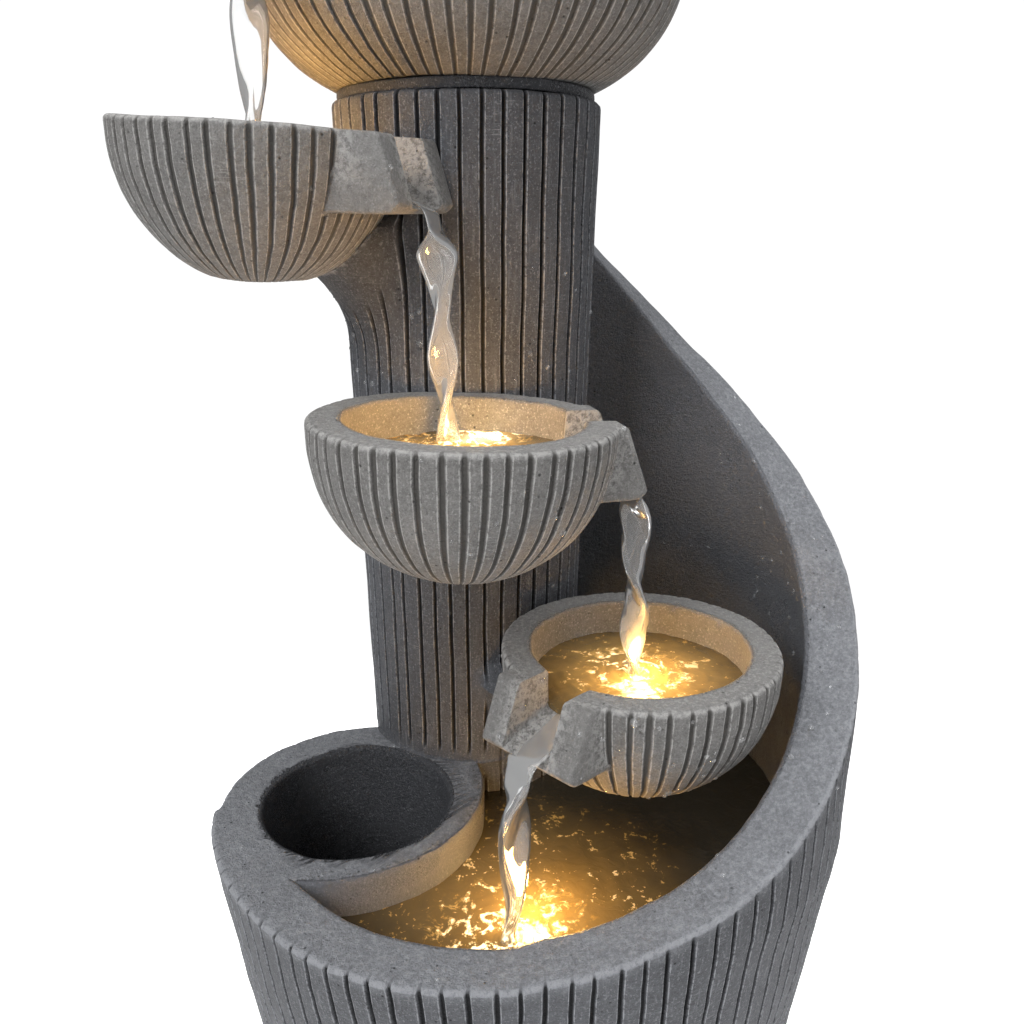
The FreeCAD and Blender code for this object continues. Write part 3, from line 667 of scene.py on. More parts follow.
# ---- bowls ------------------------------------------------------------------------------------------
def bowl_curve(radius, depth, power, below):
    return radius * np.sqrt(np.clip(1 - (below / depth) ** power, 0, None))


def hollow_curve(radius, depth, below):
    return radius * np.sqrt(1 - 0.72 * (np.clip(below, 0, depth) / depth) ** 3)


def bowl_frame(name):
    centre, _, angle, lean, _ = BOWLS[name]
    return (Matrix.Translation(centre) @ Matrix.Rotation(math.radians(angle), 4, "Z")
            @ Matrix.Rotation(math.radians(lean), 4, "Y"))


def bowl_blank(name, bowl, grow):
    """Plain outside of a bowl in its place, for fitting the column to it."""
    radius = BOWLS[bowl][1] + grow
    steps = np.linspace(BOWL_BOTTOM, 0, 24)
    profile = [(0.1 * radius, -steps[0] - grow)]
    profile += [(float(bowl_curve(radius, BOWL_DEPTH, BOWL_ROUND, d)), -d) for d in steps]
    blank = place(round_post(name, ORIGIN, profile, 120, inside=0.0), bowl_frame(bowl))
    body = [(float(column_radius(np.array(z))) + 0.0002, z) for z in np.linspace(RIM, COLUMN_TOP, 12)]
    return carve(blank, round_post("tool", COLUMN, body, 128, inside=0.0))


def fluted_bowl(name, stone, flutes, radius, depth, power, bottom, seed):
    """Fluted outside of a bowl with its lip at z = 0 and a flat lid."""
    shares, offsets, numbers = flute_columns(flutes, 0.33, seed)
    angles = shares * 2 * math.pi - math.pi
    fine = np.linspace(bottom, 0.0, 400)
    wide = bowl_curve(radius, depth, power, fine)
    run = np.concatenate([[0], np.cumsum(np.hypot(np.diff(wide), np.diff(fine)))])
    below = np.interp(np.linspace(0, run[-1] - LIP_ROUND, 44), run, fine)
    rings, reach, lip = [], [], []
    ones = np.ones(len(angles))

    def add(r, z, depth_share, lip_share):
        rings.append(around(ORIGIN, r, angles, z))
        reach.append(ones * depth_share)
        lip.append(ones * lip_share)

    start = float(bowl_curve(radius, depth, power, bottom))
    add(start * 0.5, -bottom, 0.0, 0.0)
    add(start * 0.85, -bottom, 0.2, 0.0)
    for d in below:
        r = float(bowl_curve(radius, depth, power, d))
        add(r, -d, min(1.0, r / radius / 0.55), 0.0)
    for turn in np.radians((20, 45, 70, 90)):
        add(radius - LIP_ROUND * 0.8 * (1 - math.cos(turn)), -LIP_ROUND * 0.8 * (1 - math.sin(turn)),
            0.85 - 0.45 * math.sin(turn), 1.0)
    for inset, share in ((0.0065, 0.2), (0.011, 0.0), (0.017, 0.0), (0.021, 0.0), (0.026, 0.0), (0.04, 0.0)):
        add(radius - inset, 0.0, share, 1.0)
    shape = (len(rings), len(angles))
    bowl = ring_solid(name, rings, groove_offset=np.broadcast_to(offsets, shape),
                      groove_number=np.broadcast_to(numbers, shape), groove_reach=np.array(reach),
                      edge=np.maximum(rib_edges(offsets) * np.array(reach), 0.8 * rim_wear_and_highlight(lip)),
                      lip=np.array(lip), inside=0.0,
                      inward=inward(angles, shape[0]))
    return carve_flutes(bowl, 0.0021, stone, seed)


def hollow_tool(radius, depth):
    """Flared hollow of a bowl, open above."""
    flare = 0.0028
    steps = np.linspace(1, 0.06, 26) * depth
    floor_r = float(hollow_curve(radius, depth, depth))
    profile = [(floor_r * 0.4, -depth), (floor_r * 0.8, -depth), (floor_r * 0.94, -depth + 0.0015)]
    profile += [(float(hollow_curve(radius, depth, d)), -d) for d in steps[1:]]
    profile += quarter(radius, 0.0, flare, outwards=False) + [(radius + flare, 0.03)]
    return round_post("tool", ORIGIN, profile, 150, inside=1.0)


def spout_side(radius, reach):
    """Side profile of a spout: the nose leans out as it falls."""
    end = radius + reach
    return [(radius - 0.045, -0.0001), (end + 0.003, -0.0001), (end + 0.019, -0.041), (end + 0.014, -0.046),
            (end + 0.006, -0.047), (radius - 0.016, -0.048), (radius - 0.045, -0.062)]


def trough_side(radius, reach):
    return [(radius - 0.060, 0.02), (radius - 0.060, -0.025), (radius - 0.030, -0.026),
            (radius + reach + 0.040, -0.049), (radius + reach + 0.040, 0.02)]


def finish_bowl(bowl, radius, inside_depth, reach):
    spout = prism("tool", spout_side(radius, reach), SPOUT_HALF, 0.0025, lip=0.40, inside=0.0)
    carve(bowl, spout, "UNION")
    carve(bowl, hollow_tool(radius - BOWL_LIP, inside_depth))
    # inside=0.15 paints the trough a little lighter, a painted fill light
    trough = prism("tool", trough_side(radius, reach), TROUGH_HALF, 0.003, lip=0.25, inside=0.15)
    return carve(bowl, trough)


def small_bowl(name, stone, seed):
    _, radius, _, _, reach = BOWLS[name]
    bowl = fluted_bowl(name + "_bowl_stone", stone, 48, radius, BOWL_DEPTH, BOWL_ROUND, BOWL_BOTTOM, seed)
    finish_bowl(bowl, radius, BOWL_INSIDE, reach)
    lamp_seat = [(0.0132, -BOWL_INSIDE - 0.004), (0.0132, -BOWL_INSIDE + 0.002)]
    carve(bowl, round_post("tool", ORIGIN, lamp_seat, 48, inside=1.0))
    place(bowl, bowl_frame(name))
    cope = [(float(column_radius(np.array(z))) - 0.0028, z) for z in np.linspace(RIM, COLUMN_TOP, 12)]
    carve(bowl, round_post("tool", COLUMN, [*cope, (COLUMN_TOP_R, COLUMN_TOP + 0.05)], 128, inside=0.0))
    return hand_finish(bowl, stone, 0.00038, seed)


def crown_frame():
    return Matrix.Translation(CROWN) @ Matrix.Rotation(math.radians(TOP_SPOUT), 4, "Z")


def crowning_bowl(stone):
    bowl = fluted_bowl("top_bowl_stone", stone, 68, TOP_BOWL_R, TOP_BOWL_DEPTH, TOP_BOWL_ROUND,
                       TOP_BOWL_BOTTOM, 31)
    finish_bowl(bowl, TOP_BOWL_R, TOP_BOWL_INSIDE, 0.0)
    carve(bowl, round_post("tool", ORIGIN, [(0.010, -0.11), (0.010, 0.01)], 32, inside=1.0))
    return hand_finish(place(bowl, crown_frame()), stone, 0.0004, 33)


def neck(stone):
    low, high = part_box("neck_ring")
    radius = (high.x - low.x) / 2
    middle = [(radius - 0.0015 + 0.0012 * math.cos(a), low.z + 0.004 + 0.0036 * math.sin(a))
              for a in np.linspace(-1.4, 1.4, 9)]
    # inside=1.0 gives the band the hollows' painted shade, so it is painted dark as a shadow gap
    ring = round_post("neck_band", COLUMN, [(radius - 0.012, low.z), *middle, (radius - 0.012, high.z)], 160,
                      inside=1.0, lip=0.0)
    carve(ring, round_post("tool", COLUMN, [(0.06, low.z - 0.01), (0.06, high.z + 0.01)], 64, inside=1.0))
    return hand_finish(ring, stone, 0.0003, 41)


# ---- finishes ---------------------------------------------------------------------------------------
class Amount:
    """A shader socket whose arithmetic adds Math nodes."""

    def __init__(self, finish, socket):
        self.finish = finish
        self.socket = socket

    def _math(self, operation, *values):
        return self.finish.node("ShaderNodeMath", {"operation": operation}, dict(enumerate(values)))

    def __add__(self, other):
        return self._math("ADD", self, other)

    __radd__ = __add__

    def __sub__(self, other):
        return self._math("SUBTRACT", self, other)

    def __rsub__(self, other):
        return self._math("SUBTRACT", other, self)

    def __mul__(self, other):
        return self._math("MULTIPLY", self, other)

    __rmul__ = __mul__

    def limited(self, low, high):
        """0 below low, 1 above high, smooth between."""
        return self.finish.node("ShaderNodeMapRange", {"interpolation_type": "SMOOTHSTEP"},
                                {"Value": self, "From Min": low, "From Max": high})


class Finish:
    """One procedural material."""

    def __init__(self, name):
        self.material = bpy.data.materials.new(name)
        self.material.use_nodes = True
        self.tree = self.material.node_tree
        self.tree.nodes.clear()
        self.place = self.node("ShaderNodeTexCoord", output="Object")

    def node(self, kind, settings=None, sockets=None, output=0):
        made = self.tree.nodes.new(kind)
        for key, value in (settings or {}).items():
            setattr(made, key, value)
        for key, value in (sockets or {}).items():
            if isinstance(value, Amount):
                self.tree.links.new(value.socket, made.inputs[key])
            else:
                made.inputs[key].default_value = value
        return Amount(self, made.outputs[output])

    def mark(self, name):
        return self.node("ShaderNodeAttribute", {"attribute_name": name}, output="Fac")

    def noise(self, scale, detail=3.0, rough=0.55, stretch=None, seed=0.0):
        where = self.place
        if stretch:
            where = self.node("ShaderNodeMapping", None, {"Vector": where, "Scale": stretch})
        return self.node("ShaderNodeTexNoise", {"noise_dimensions": "4D"},
                         {"Vector": where, "W": seed, "Scale": scale, "Detail": detail, "Roughness": rough})

    def cells(self, scale, feature="F1"):
        return self.node("ShaderNodeTexVoronoi", {"feature": feature}, {"Vector": self.place, "Scale": scale})

    def tint(self, share, first, second, blend="MIX"):
        sockets = {0: share, 6: first, 7: second}
        return self.node("ShaderNodeMix", {"data_type": "RGBA", "blend_type": blend}, sockets, output=2)

    def bump(self, height, distance, strength=1.0):
        sockets = {"Height": height, "Distance": distance, "Strength": strength}
        return self.node("ShaderNodeBump", None, sockets)

    def finish(self, **sockets):
        shader = self.node("ShaderNodeBsdfPrincipled", None,
                           {key.replace("_", " "): value for key, value in sockets.items()})
        out = self.tree.nodes.new("ShaderNodeOutputMaterial")
        self.tree.links.new(shader.socket, out.inputs[0])
        return self.material


def rgb(*tone):
    return (*tone, 1.0)


def cast_stone(name, tone, worn, deep, rim, wetness, painted_hollow_shade):
    """Tinted cast stone, sanded on its ribs: mottled body, pale worn edges with a painted highlight,
    flutes darkened with painted shade and dirt, lips painted paler as painted top light, inner walls
    painted lighter as painted fill light, hollows painted darker as painted shade, and pin-holes.
    """
    f = Finish(name)
    groove, edge, lip, inside = f.mark("groove"), f.mark("edge"), f.mark("lip"), f.mark("inside")
    seam = 1.0 - f.mark("plain")
    cloud = f.noise(7.0, 5.0, 0.6)
    blotch = f.noise(34.0, 5.0, 0.7, seed=3.0)
    grain = f.noise(900.0, 2.0, 0.7, seed=5.0)
    coarse = f.noise(260.0, 4.0, 0.75, seed=8.0)
    drag = f.noise(1.0, 3.0, 0.6, stretch=(420.0, 420.0, 38.0), seed=1.0)
    scratch = f.noise(1.0, 2.0, 0.6, stretch=(60.0, 60.0, 1500.0), seed=4.0)
    scratched = scratch.limited(0.58, 0.70) * f.noise(22.0, 2.0, 0.5, seed=6.0).limited(0.48, 0.66)
    pits = (1.0 - f.cells(150.0).limited(0.05, 0.16)) * f.noise(60.0, 2.0, seed=9.0).limited(0.48, 0.62)
    fleck = f.noise(640.0, 2.0, 0.6, seed=13.0).limited(0.55, 0.68)
    speck = f.noise(300.0, 4.0, 0.8, seed=17.0)
    rubbed = coarse.limited(0.36, 0.60)
    outside = 1.0 - inside.limited(0.1, 0.5)
    pocket = inside.limited(0.55, 0.95)
    # pale rib edges and lip turns: sanded wear that is also a painted highlight; seams add wear
    wear_and_highlight = edge * (0.35 + 0.75 * rubbed) + seam * (0.20 + 0.55 * rubbed)

    # walls marks the inner walls over the water and the spout troughs; shade paints them lighter, a painted
    # fill light, on top of the mottled tone
    walls = inside - pocket
    shade = 0.55 * cloud + 0.65 * blotch + 1.1 * (grain - 0.5) + 1.0 * (coarse - 0.15) + 2.4 * walls
    colour = f.tint(1.0, rgb(*tone), f.node("ShaderNodeCombineColor", None, {0: shade, 1: shade, 2: shade}),
                    "MULTIPLY")
    # lips, the top faces, painted paler toward rim and worn: painted top light, with worn specks and patches
    # of the body's tone
    colour = f.tint(lip * (0.02 + 1.7 * (speck - 0.30) + 0.65 * blotch), colour, rgb(*rim))
    colour = f.tint(lip * speck.limited(0.50, 0.62) * 0.55, colour, rgb(*worn))
    colour = f.tint(lip * coarse.limited(0.54, 0.66) * 0.45, colour, rgb(*tone))
    colour = f.tint((drag.limited(0.52, 0.76) * 0.26 + scratched * 0.45) * outside, colour, rgb(*worn))
    colour = f.tint(fleck * (0.36 + 0.40 * inside), colour, rgb(*worn))
    colour = f.tint(wear_and_highlight.limited(0.12, 0.90) * 0.90, colour, rgb(*worn))
    # flutes painted darker toward deep: painted shade in the grooves, with dirt
    colour = f.tint(groove.limited(0.12, 0.80) * 0.92, colour, rgb(*deep))
    # hollows (planting pocket, holes, bowl hollows, neck band) painted darker: painted shade
    colour = f.tint(pocket * painted_hollow_shade, colour, rgb(*deep))
    colour = f.tint(pits * 0.80, colour, rgb(*(0.35 * c for c in deep)))

    wet = inside.limited(0.2, 0.5) * wetness * f.noise(16.0, 3.0, seed=21.0).limited(0.30, 0.56)
    roughness = 0.68 + 0.30 * (grain - 0.5) - 0.42 * wet
    relief = 0.70 * coarse + 0.35 * grain + 0.15 * drag * outside - 0.5 * pits + 2.6 * walls * speck
    relief = f.bump(relief, 0.0055, 0.9)
    return f.finish(Base_Color=colour, Roughness=roughness, Normal=relief, Specular_IOR_Level=0.42)


# tone, worn, deep (flutes and hollows, with painted shade), rim (lips, with painted top light), wetness,
# painted shade in hollows
DARK_STONE = cast_stone("dark_cast_stone", (0.092, 0.096, 0.107), (0.38, 0.39, 0.42), (0.010, 0.011, 0.014),
                        (0.330, 0.342, 0.368), 1.0, 0.45)
LIGHT_STONE = cast_stone("light_cast_stone", (0.225, 0.220, 0.213), (0.52, 0.51, 0.50), (0.092, 0.087, 0.081),
                         (0.310, 0.307, 0.302), 0.8, 0.10)


def moulded(name, tone, gloss, pebble=520.0):
    """Injection-moulded plastic: fine pebbled skin, faint flow marks and rubbed patches."""
    f = Finish(name)
    skin, flow = f.noise(pebble, 3.0, 0.6), f.noise(1.0, 3.0, 0.5, stretch=(60.0, 60.0, 14.0), seed=2.0)
    rubbed = f.noise(38.0, 4.0, 0.65, seed=5.0).limited(0.52, 0.72)
    body = f.tint(flow, rgb(*(0.80 * c for c in tone)), rgb(*(1.20 * c for c in tone)))
    body = f.tint(rubbed * 0.35, body, rgb(*(1.7 * c + 0.02 for c in tone)))
    return f.finish(Base_Color=body, Roughness=gloss + 0.18 * (skin - 0.5) - 0.10 * rubbed,
                    Normal=f.bump(skin, 0.0006, 0.5), Specular_IOR_Level=0.5)


def rubber(name, tone, stretch=None):
    f = Finish(name)
    skin, bloom = f.noise(1.0 if stretch else 340.0, 3.0, 0.6, stretch), f.noise(70.0, 4.0, 0.7, seed=4.0)
    body = f.tint(bloom.limited(0.45, 0.75) * 0.6, rgb(*tone), rgb(*(2.2 * c + 0.012 for c in tone)))
    return f.finish(Base_Color=body, Roughness=0.62 + 0.2 * (bloom - 0.5), Normal=f.bump(skin, 0.0005, 0.5),
                    Sheen_Weight=0.15)


def brushed_steel():
    f = Finish("spring_steel")
    lines, stain = f.noise(1.0, 3.0, 0.6, stretch=(200.0, 200.0, 2600.0)), f.noise(120.0, 3.0, 0.6, seed=3.0)
    body = f.tint(stain.limited(0.5, 0.8) * 0.5, rgb(0.60, 0.60, 0.61), rgb(0.36, 0.33, 0.30))
    return f.finish(Base_Color=body, Metallic=1.0, Roughness=0.26 + 0.20 * lines,
                    Normal=f.bump(lines, 0.0003, 0.4))


def ground_ceramic():
    f = Finish("ceramic_shaft")
    lines, cloud = f.noise(1.0, 2.0, 0.5, stretch=(300.0, 300.0, 3600.0)), f.noise(150.0, 3.0, 0.5, seed=3.0)
    return f.finish(Base_Color=f.tint(cloud, rgb(0.80, 0.79, 0.75), rgb(0.88, 0.87, 0.84)),
                    Roughness=0.18 + 0.12 * lines, Normal=f.bump(lines, 0.0002, 0.4))


def soft_vinyl():
    """Clear tube that has gone a little milky, with beads of air and film inside."""
    f = Finish("clear_vinyl")
    film, spots = f.noise(60.0, 4.0, 0.6), 1.0 - f.cells(260.0).limited(0.06, 0.14)
    body = f.tint(film, rgb(0.78, 0.83, 0.83), rgb(0.90, 0.92, 0.91))
    return f.finish(Base_Color=f.tint(spots * 0.4, body, rgb(0.97, 0.98, 0.98)), Roughness=0.12 + 0.16 * film,
                    Transmission_Weight=0.75, IOR=1.45, Normal=f.bump(spots, 0.0004, 0.4))


def lit_lens():
    f = Finish("warm_lens")
    ribs, haze = f.cells(700.0, "F1"), f.noise(240.0, 3.0, 0.6, seed=2.0)
    body, glow = (rgb(1.0, 0.80, 0.50), rgb(1.0, 0.90, 0.68)), (rgb(1.0, 0.74, 0.34), rgb(1.0, 0.54, 0.16))
    return f.finish(Base_Color=f.tint(haze, *body), Roughness=0.08 + 0.15 * haze,
                    Normal=f.bump(ribs, 0.0006, 0.6), Emission_Color=f.tint(ribs, *glow),
                    Emission_Strength=2.2)


def finish_fittings():
    """Gives the pump, pipe, lamps and leads their own finishes."""
    black = moulded("black_plastic", (0.026, 0.026, 0.029), 0.46)
    grey = moulded("grey_plastic", (0.30, 0.31, 0.32), 0.40)
    cable = rubber("black_cable", (0.016, 0.016, 0.017), (260.0, 260.0, 260.0))
    lens, seal = lit_lens(), rubber("black_rubber", (0.020, 0.020, 0.021))
    chosen = {"cord_grommet": seal, "pump_suction_cups": seal, "nozzle_washer": seal, "pump_flow_dial": grey,
              "impeller_shaft": ground_ceramic(), "riser_tube": soft_vinyl(), "riser_clamp": brushed_steel(),
              "pump_lead": cable}
    for node, fitting in nodes.items():
        made_of = chosen.get(node)
        if made_of is None and node.startswith("led_"):
            made_of = {"led_lens": lens, "led_lead": cable}.get(node[:8], black)
        if made_of is None and node.startswith(("pump_", "bubbler_", "lead_")):
            made_of = black
        if made_of:
            for slot in fitting.material_slots:
                slot.material = made_of


# ---- water ------------------------------------------------------------------------------------------
def water_level(bowl):
    return BOWLS[bowl][0].z - WATER_BELOW_LIP


def ripples(points, landings, seed):
    """Height of the water's surface over its level: rings round each landing stream and a light chop."""
    flat = points[:, :2]
    chop = wobble(points * np.array((1, 1, 0)), 0.00035, 0.016, seed)[:, 2]
    height = chop + wobble(points * np.array((1, 1, 0)), 0.0003, 0.045, seed + 1)[:, 2]
    for x, y in landings:
        away = np.linalg.norm(flat - np.array((x, y)), axis=1)
        uneven = 1 + 0.35 * np.sin(5 * np.arctan2(flat[:, 1] - y, flat[:, 0] - x) + 3)
        height += 0.0016 * uneven * np.exp(-away / 0.022) * np.cos(away / 0.0085 * 2 * math.pi)
    return height


def pool(name, rims, level, landings, seed):
    """Body of water: rings from the middle out to the wall, rippled above and flat below."""
    depth = 0.006
    low, high = [], []
    for ring in rims:
        ring = np.array(ring)
        flat = ring.copy()
        flat[:, 2] = level - depth
        low.append(flat)
        ring[:, 2] = level + ripples(ring, landings, seed)
        high.append(ring)
    return ring_solid(name, [*low, *high[::-1]])


def bowl_pool(name, centre, sizes, spout, landings, seed):
    """Water in a bowl whose hollow has the given lip radius and depth; spout is its plan angle and lean."""
    reach = float(hollow_curve(*sizes, WATER_BELOW_LIP)) + POOL_INTO_WALL
    angles = np.linspace(-math.pi, math.pi, 140, endpoint=False)
    turn, tilt = math.radians(spout[0]), math.sin(math.radians(spout[1])) * WATER_BELOW_LIP
    middle = centre - Vector((math.cos(turn), math.sin(turn), 0)) * tilt
    rims = [around(middle, reach * share, angles, 0.0) for share in np.linspace(0.03, 1, 34)]
    return pool(name, rims, centre.z - WATER_BELOW_LIP, landings, seed)


def beside_column(body):
    cope = [(float(column_radius(np.array(z))) - 0.004, z) for z in np.linspace(RIM, COLUMN_TOP, 8)]
    return carve(body, round_post("tool", COLUMN, cope, 128))


def shine(piece, water):
    piece.data.materials.clear()
    piece.data.materials.append(water)
    piece.data.polygons.foreach_set("material_index", np.zeros(len(piece.data.polygons), np.int32))
    piece.data.shade_smooth()
    piece.data.set_sharp_from_angle(angle=math.radians(50))
    return piece


BASIN_LEVEL = RIM - 0.030


def basin_pool(landing, water):
    angles = np.linspace(-math.pi, math.pi, 360, endpoint=False)
    outer = outline_radius(angles) - WALL + POOL_INTO_WALL
    rims = [around(BASE, outer * share, angles, 0.0) for share in np.linspace(0.02, 1, 64)]
    body = pool("basin_water", rims, BASIN_LEVEL, [landing], 71)
    wall = PARTITION_R - POOL_INTO_WALL
    carve(body, round_post("tool", PARTITION, [(wall, 0.1), (wall, 0.5)], 160))
    carve(body, round_post("tool", COLUMN, [(COLUMN_FOOT_R - 0.004, 0.1), (COLUMN_FOOT_R - 0.004, 0.5)], 128))
    carve(body, round_post("tool", WEB, [(WALL - POOL_INTO_WALL, 0.1), (WALL - POOL_INTO_WALL, 0.5)], 64))
    return shine(body, water)


def smooth_line(points, steps):
    """Points along a smooth curve through the given ones."""
    points = np.array(points, float)
    run = np.concatenate([[0], np.cumsum(np.linalg.norm(np.diff(points, axis=0), axis=1))])
    slope = np.gradient(points, run, axis=0)
    at = np.linspace(0, run[-1], steps)
    k = np.clip(np.searchsorted(run, at) - 1, 0, len(run) - 2)
    gap = (run[k + 1] - run[k])[:, None]
    t = ((at - run[k]) / gap[:, 0])[:, None]
    return ((2 * t ** 3 - 3 * t ** 2 + 1) * points[k] + (t ** 3 - 2 * t ** 2 + t) * gap * slope[k]
            + (3 * t ** 2 - 2 * t ** 3) * points[k + 1] + (t ** 3 - t ** 2) * gap * slope[k + 1]), at


def stream(name, frame_matrix, radius, reach, landing_z, turn, seed, water, drift=0.006):
    """Sheet of water along a spout's channel that falls as a twisting ribbon."""
    slope = 0.023 / (0.070 + reach)
    floor = [-0.052, -0.036, *np.linspace(-0.022, reach + 0.012, 4)]
    path = [frame_matrix @ Vector((radius + x, 0, -0.0245 - slope * max(0.0, x + 0.030))) for x in floor]
    end = -0.0245 - slope * (reach + 0.042)
    nose = ((0.0205, -0.0045), (0.0240, -0.0135))
    path += [frame_matrix @ Vector((radius + reach + x, 0, end + z)) for x, z in nose]
    out = (frame_matrix.to_3x3() @ Vector((1, 0, 0)))
    out.z = 0
    out.normalize()
    lip = path[-1]
    fall = lip.z - landing_z
    for share in (0.12, 0.3, 0.5, 0.7, 0.88, 1.0):
        path.append(Vector((lip.x, lip.y, lip.z - fall * share)) + out * drift * math.sqrt(share))
    line, run = smooth_line(path, 150)
    lip_run = run[np.argmin(np.linalg.norm(line - np.array(lip), axis=1))]
    rng = np.random.default_rng(seed)
    phases = rng.uniform(0, 2 * math.pi, 4)
    along = np.gradient(line, axis=0)
    along /= np.linalg.norm(along, axis=1)[:, None]
    side0 = np.array((-out.y, out.x, 0.0))
    rings = []
    corners = np.linspace(0, 2 * math.pi, 22, endpoint=False)
    for centre, direction, s in zip(line, along, run):
        past = max(0.0, s - lip_run)
        spin = turn * math.pi * (past / 0.068) ** 0.92 * ease(np.array(past / 0.02))
        spin += 0.25 * math.sin(past / 0.03 + phases[0])
        ahead = np.cross(direction, side0)
        ahead /= np.linalg.norm(ahead)
        side = side0 * math.cos(spin) + ahead * math.sin(spin)
        face = np.cross(direction, side)
        fallen = ease(np.array(past / 0.018))
        wide = 0.0180 - 0.0040 * ease(np.array((s - lip_run + 0.03) / 0.03)) \
            - 0.0038 * ease(np.array(past / 0.05)) - 0.0016 * ease(np.array(past / 0.14))
        swell = 0.10 * math.sin(past / 0.011 + phases[1]) + 0.12 * math.sin(past / 0.019 + phases[2])
        wide *= 1 + swell * fallen
        thick = 0.0012 + 0.0060 * ease(np.array(past / 0.012)) - 0.0026 * ease(np.array(past / 0.12))
        body = 0.75 + 0.45 * np.abs(np.cos(corners)) ** 2
        crease = 0.0010 * np.sin(3 * corners + past / 0.014 + phases[3]) * fallen
        ring = centre + side * ((wide + crease) * np.cos(corners))[:, None] \
            + face * ((thick * body + crease) * np.sin(corners))[:, None]
        rings.append(ring)
    return shine(ring_solid(name, rings[::-1]), water)


def painted_glow_water(name, lamp, landing, hot, heat, reach, glow, calm, deep):
    """Water over a warm lamp, with the lamp's light painted on as emission: a painted amber glow near it, a
    painted hot spot, painted glints, bright painted ripples where the stream lands, olive elsewhere.
    """
    f = Finish(name)
    bend = f.noise(46.0, 2.0, 0.5, seed=2.0)

    def nearness(x, y, start, stop):
        centred = f.node("ShaderNodeMapping", {"vector_type": "POINT"},
                         {"Vector": f.place, "Location": (-x, -y, 0), "Scale": (1, 1, 0)})
        away = f.node("ShaderNodeVectorMath", {"operation": "LENGTH"}, {0: centred}, output="Value")
        return 1.0 - (away + 0.022 * (bend - 0.5)).limited(start, stop)

    near = nearness(lamp.x, lamp.y, 0.20 * reach, 1.30 * reach)
    core = nearness(hot.x, hot.y, 0.06 * reach, 0.42 * reach)
    churn = nearness(landing.x, landing.y, 0.15 * reach, 0.60 * reach)
    folded = f.node("ShaderNodeTexNoise", None,
                    {"Vector": f.place, "Scale": 62.0, "Detail": 5.0, "Roughness": 0.62, "Distortion": 1.3})
    fine = f.noise(210.0, 4.0, 0.7, seed=6.0)
    crests = (0.65 * folded + 0.35 * fine).limited(0.50, 0.565)
    glints = (0.5 * folded + 0.5 * fine).limited(0.565, 0.60)
    # low, splash and bright are painted light: emission for the lamp's glow, the glints, the landing ripples
    # and the hot spot (core)
    low = near * (0.02 + 0.30 * folded) * glow * calm
    splash = churn * crests * (0.25 + near) * 1.5
    bright = (splash + near * glints * 1.1 + core * (0.20 + crests) * heat) * glow
    light = f.tint((bright * 0.8).limited(0.1, 1.1), rgb(1.0, 0.52, 0.10), rgb(1.0, 0.80, 0.46))
    power = low + bright
    lit = f.node("ShaderNodeCombineColor", None, {0: power, 1: power, 2: power})
    # the base colour is also painted amber near the lamp, a painted pool of light
    f.finish(Base_Color=f.tint(near * calm, rgb(*deep), rgb(0.24, 0.17, 0.07)), Roughness=0.05 + 0.12 * fine,
             Normal=f.bump(folded, 0.0016, 0.5), Emission_Color=f.tint(1.0, light, lit, "MULTIPLY"),
             Emission_Strength=1.0, Specular_IOR_Level=0.6)
    return f.material


def clear_water():
    f = Finish("clear_water")
    swirl = f.noise(90.0, 3.0, 0.5, stretch=(1.0, 1.0, 0.30))
    f.finish(Base_Color=f.tint(swirl, rgb(0.93, 0.95, 0.96), rgb(1, 1, 1)), Roughness=0.02 + 0.03 * swirl,
             Transmission_Weight=0.88, IOR=1.33, Normal=f.bump(swirl, 0.0008, 0.25))
    return f.material


def lamp_light(name, where, power, radius=0.012):
    lamp = bpy.data.lights.new(name, "POINT")
    lamp.energy = power
    lamp.shadow_soft_size = radius
    lamp.color = (1.0, 0.56, 0.17)
    light = bpy.data.objects.new(name, lamp)
    light.location = where
    bpy.context.scene.collection.objects.link(light)


# ---- beads of water ---------------------------------------------------------------------------------
def bead_tree():
    """Node tree that scatters flattened beads of water over a surface."""
    tree, given, result = new_tree("scatter_beads", ("Density", "Size"), "Water")
    spots = add_node(tree, "GeometryNodeDistributePointsOnFaces", None,
                     {"Mesh": given.outputs["Geometry"], "Density": given.outputs["Density"],
                      "Seed": given.outputs["Seed"]})
    chance = add_node(tree, "FunctionNodeRandomValue", {"data_type": "FLOAT"},
                      {"Seed": given.outputs["Seed"]})
    few_large = add_node(tree, "ShaderNodeMath", {"operation": "POWER"}, {0: chance.outputs[1], 1: 2.5})
    share = add_node(tree, "ShaderNodeMath", {"operation": "MULTIPLY_ADD"},
                     {0: few_large.outputs[0], 1: 0.75, 2: 0.25})
    size = add_node(tree, "ShaderNodeMath", {"operation": "MULTIPLY"},
                    {0: share.outputs[0], 1: given.outputs["Size"]})
    low = add_node(tree, "ShaderNodeMath", {"operation": "MULTIPLY"}, {0: size.outputs[0], 1: 0.6})
    shape = add_node(tree, "ShaderNodeCombineXYZ", None,
                     {0: size.outputs[0], 1: size.outputs[0], 2: low.outputs[0]})
    bead = add_node(tree, "GeometryNodeMeshIcoSphere", None, {"Radius": 1.0, "Subdivisions": 2})
    placed = add_node(tree, "GeometryNodeInstanceOnPoints", None,
                      {"Points": spots.outputs["Points"], "Instance": bead.outputs["Mesh"],
                       "Rotation": spots.outputs["Rotation"], "Scale": shape.outputs[0]})
    return close_tree(tree, placed.outputs[0], given.outputs["Water"], result)


BEADS = bead_tree()


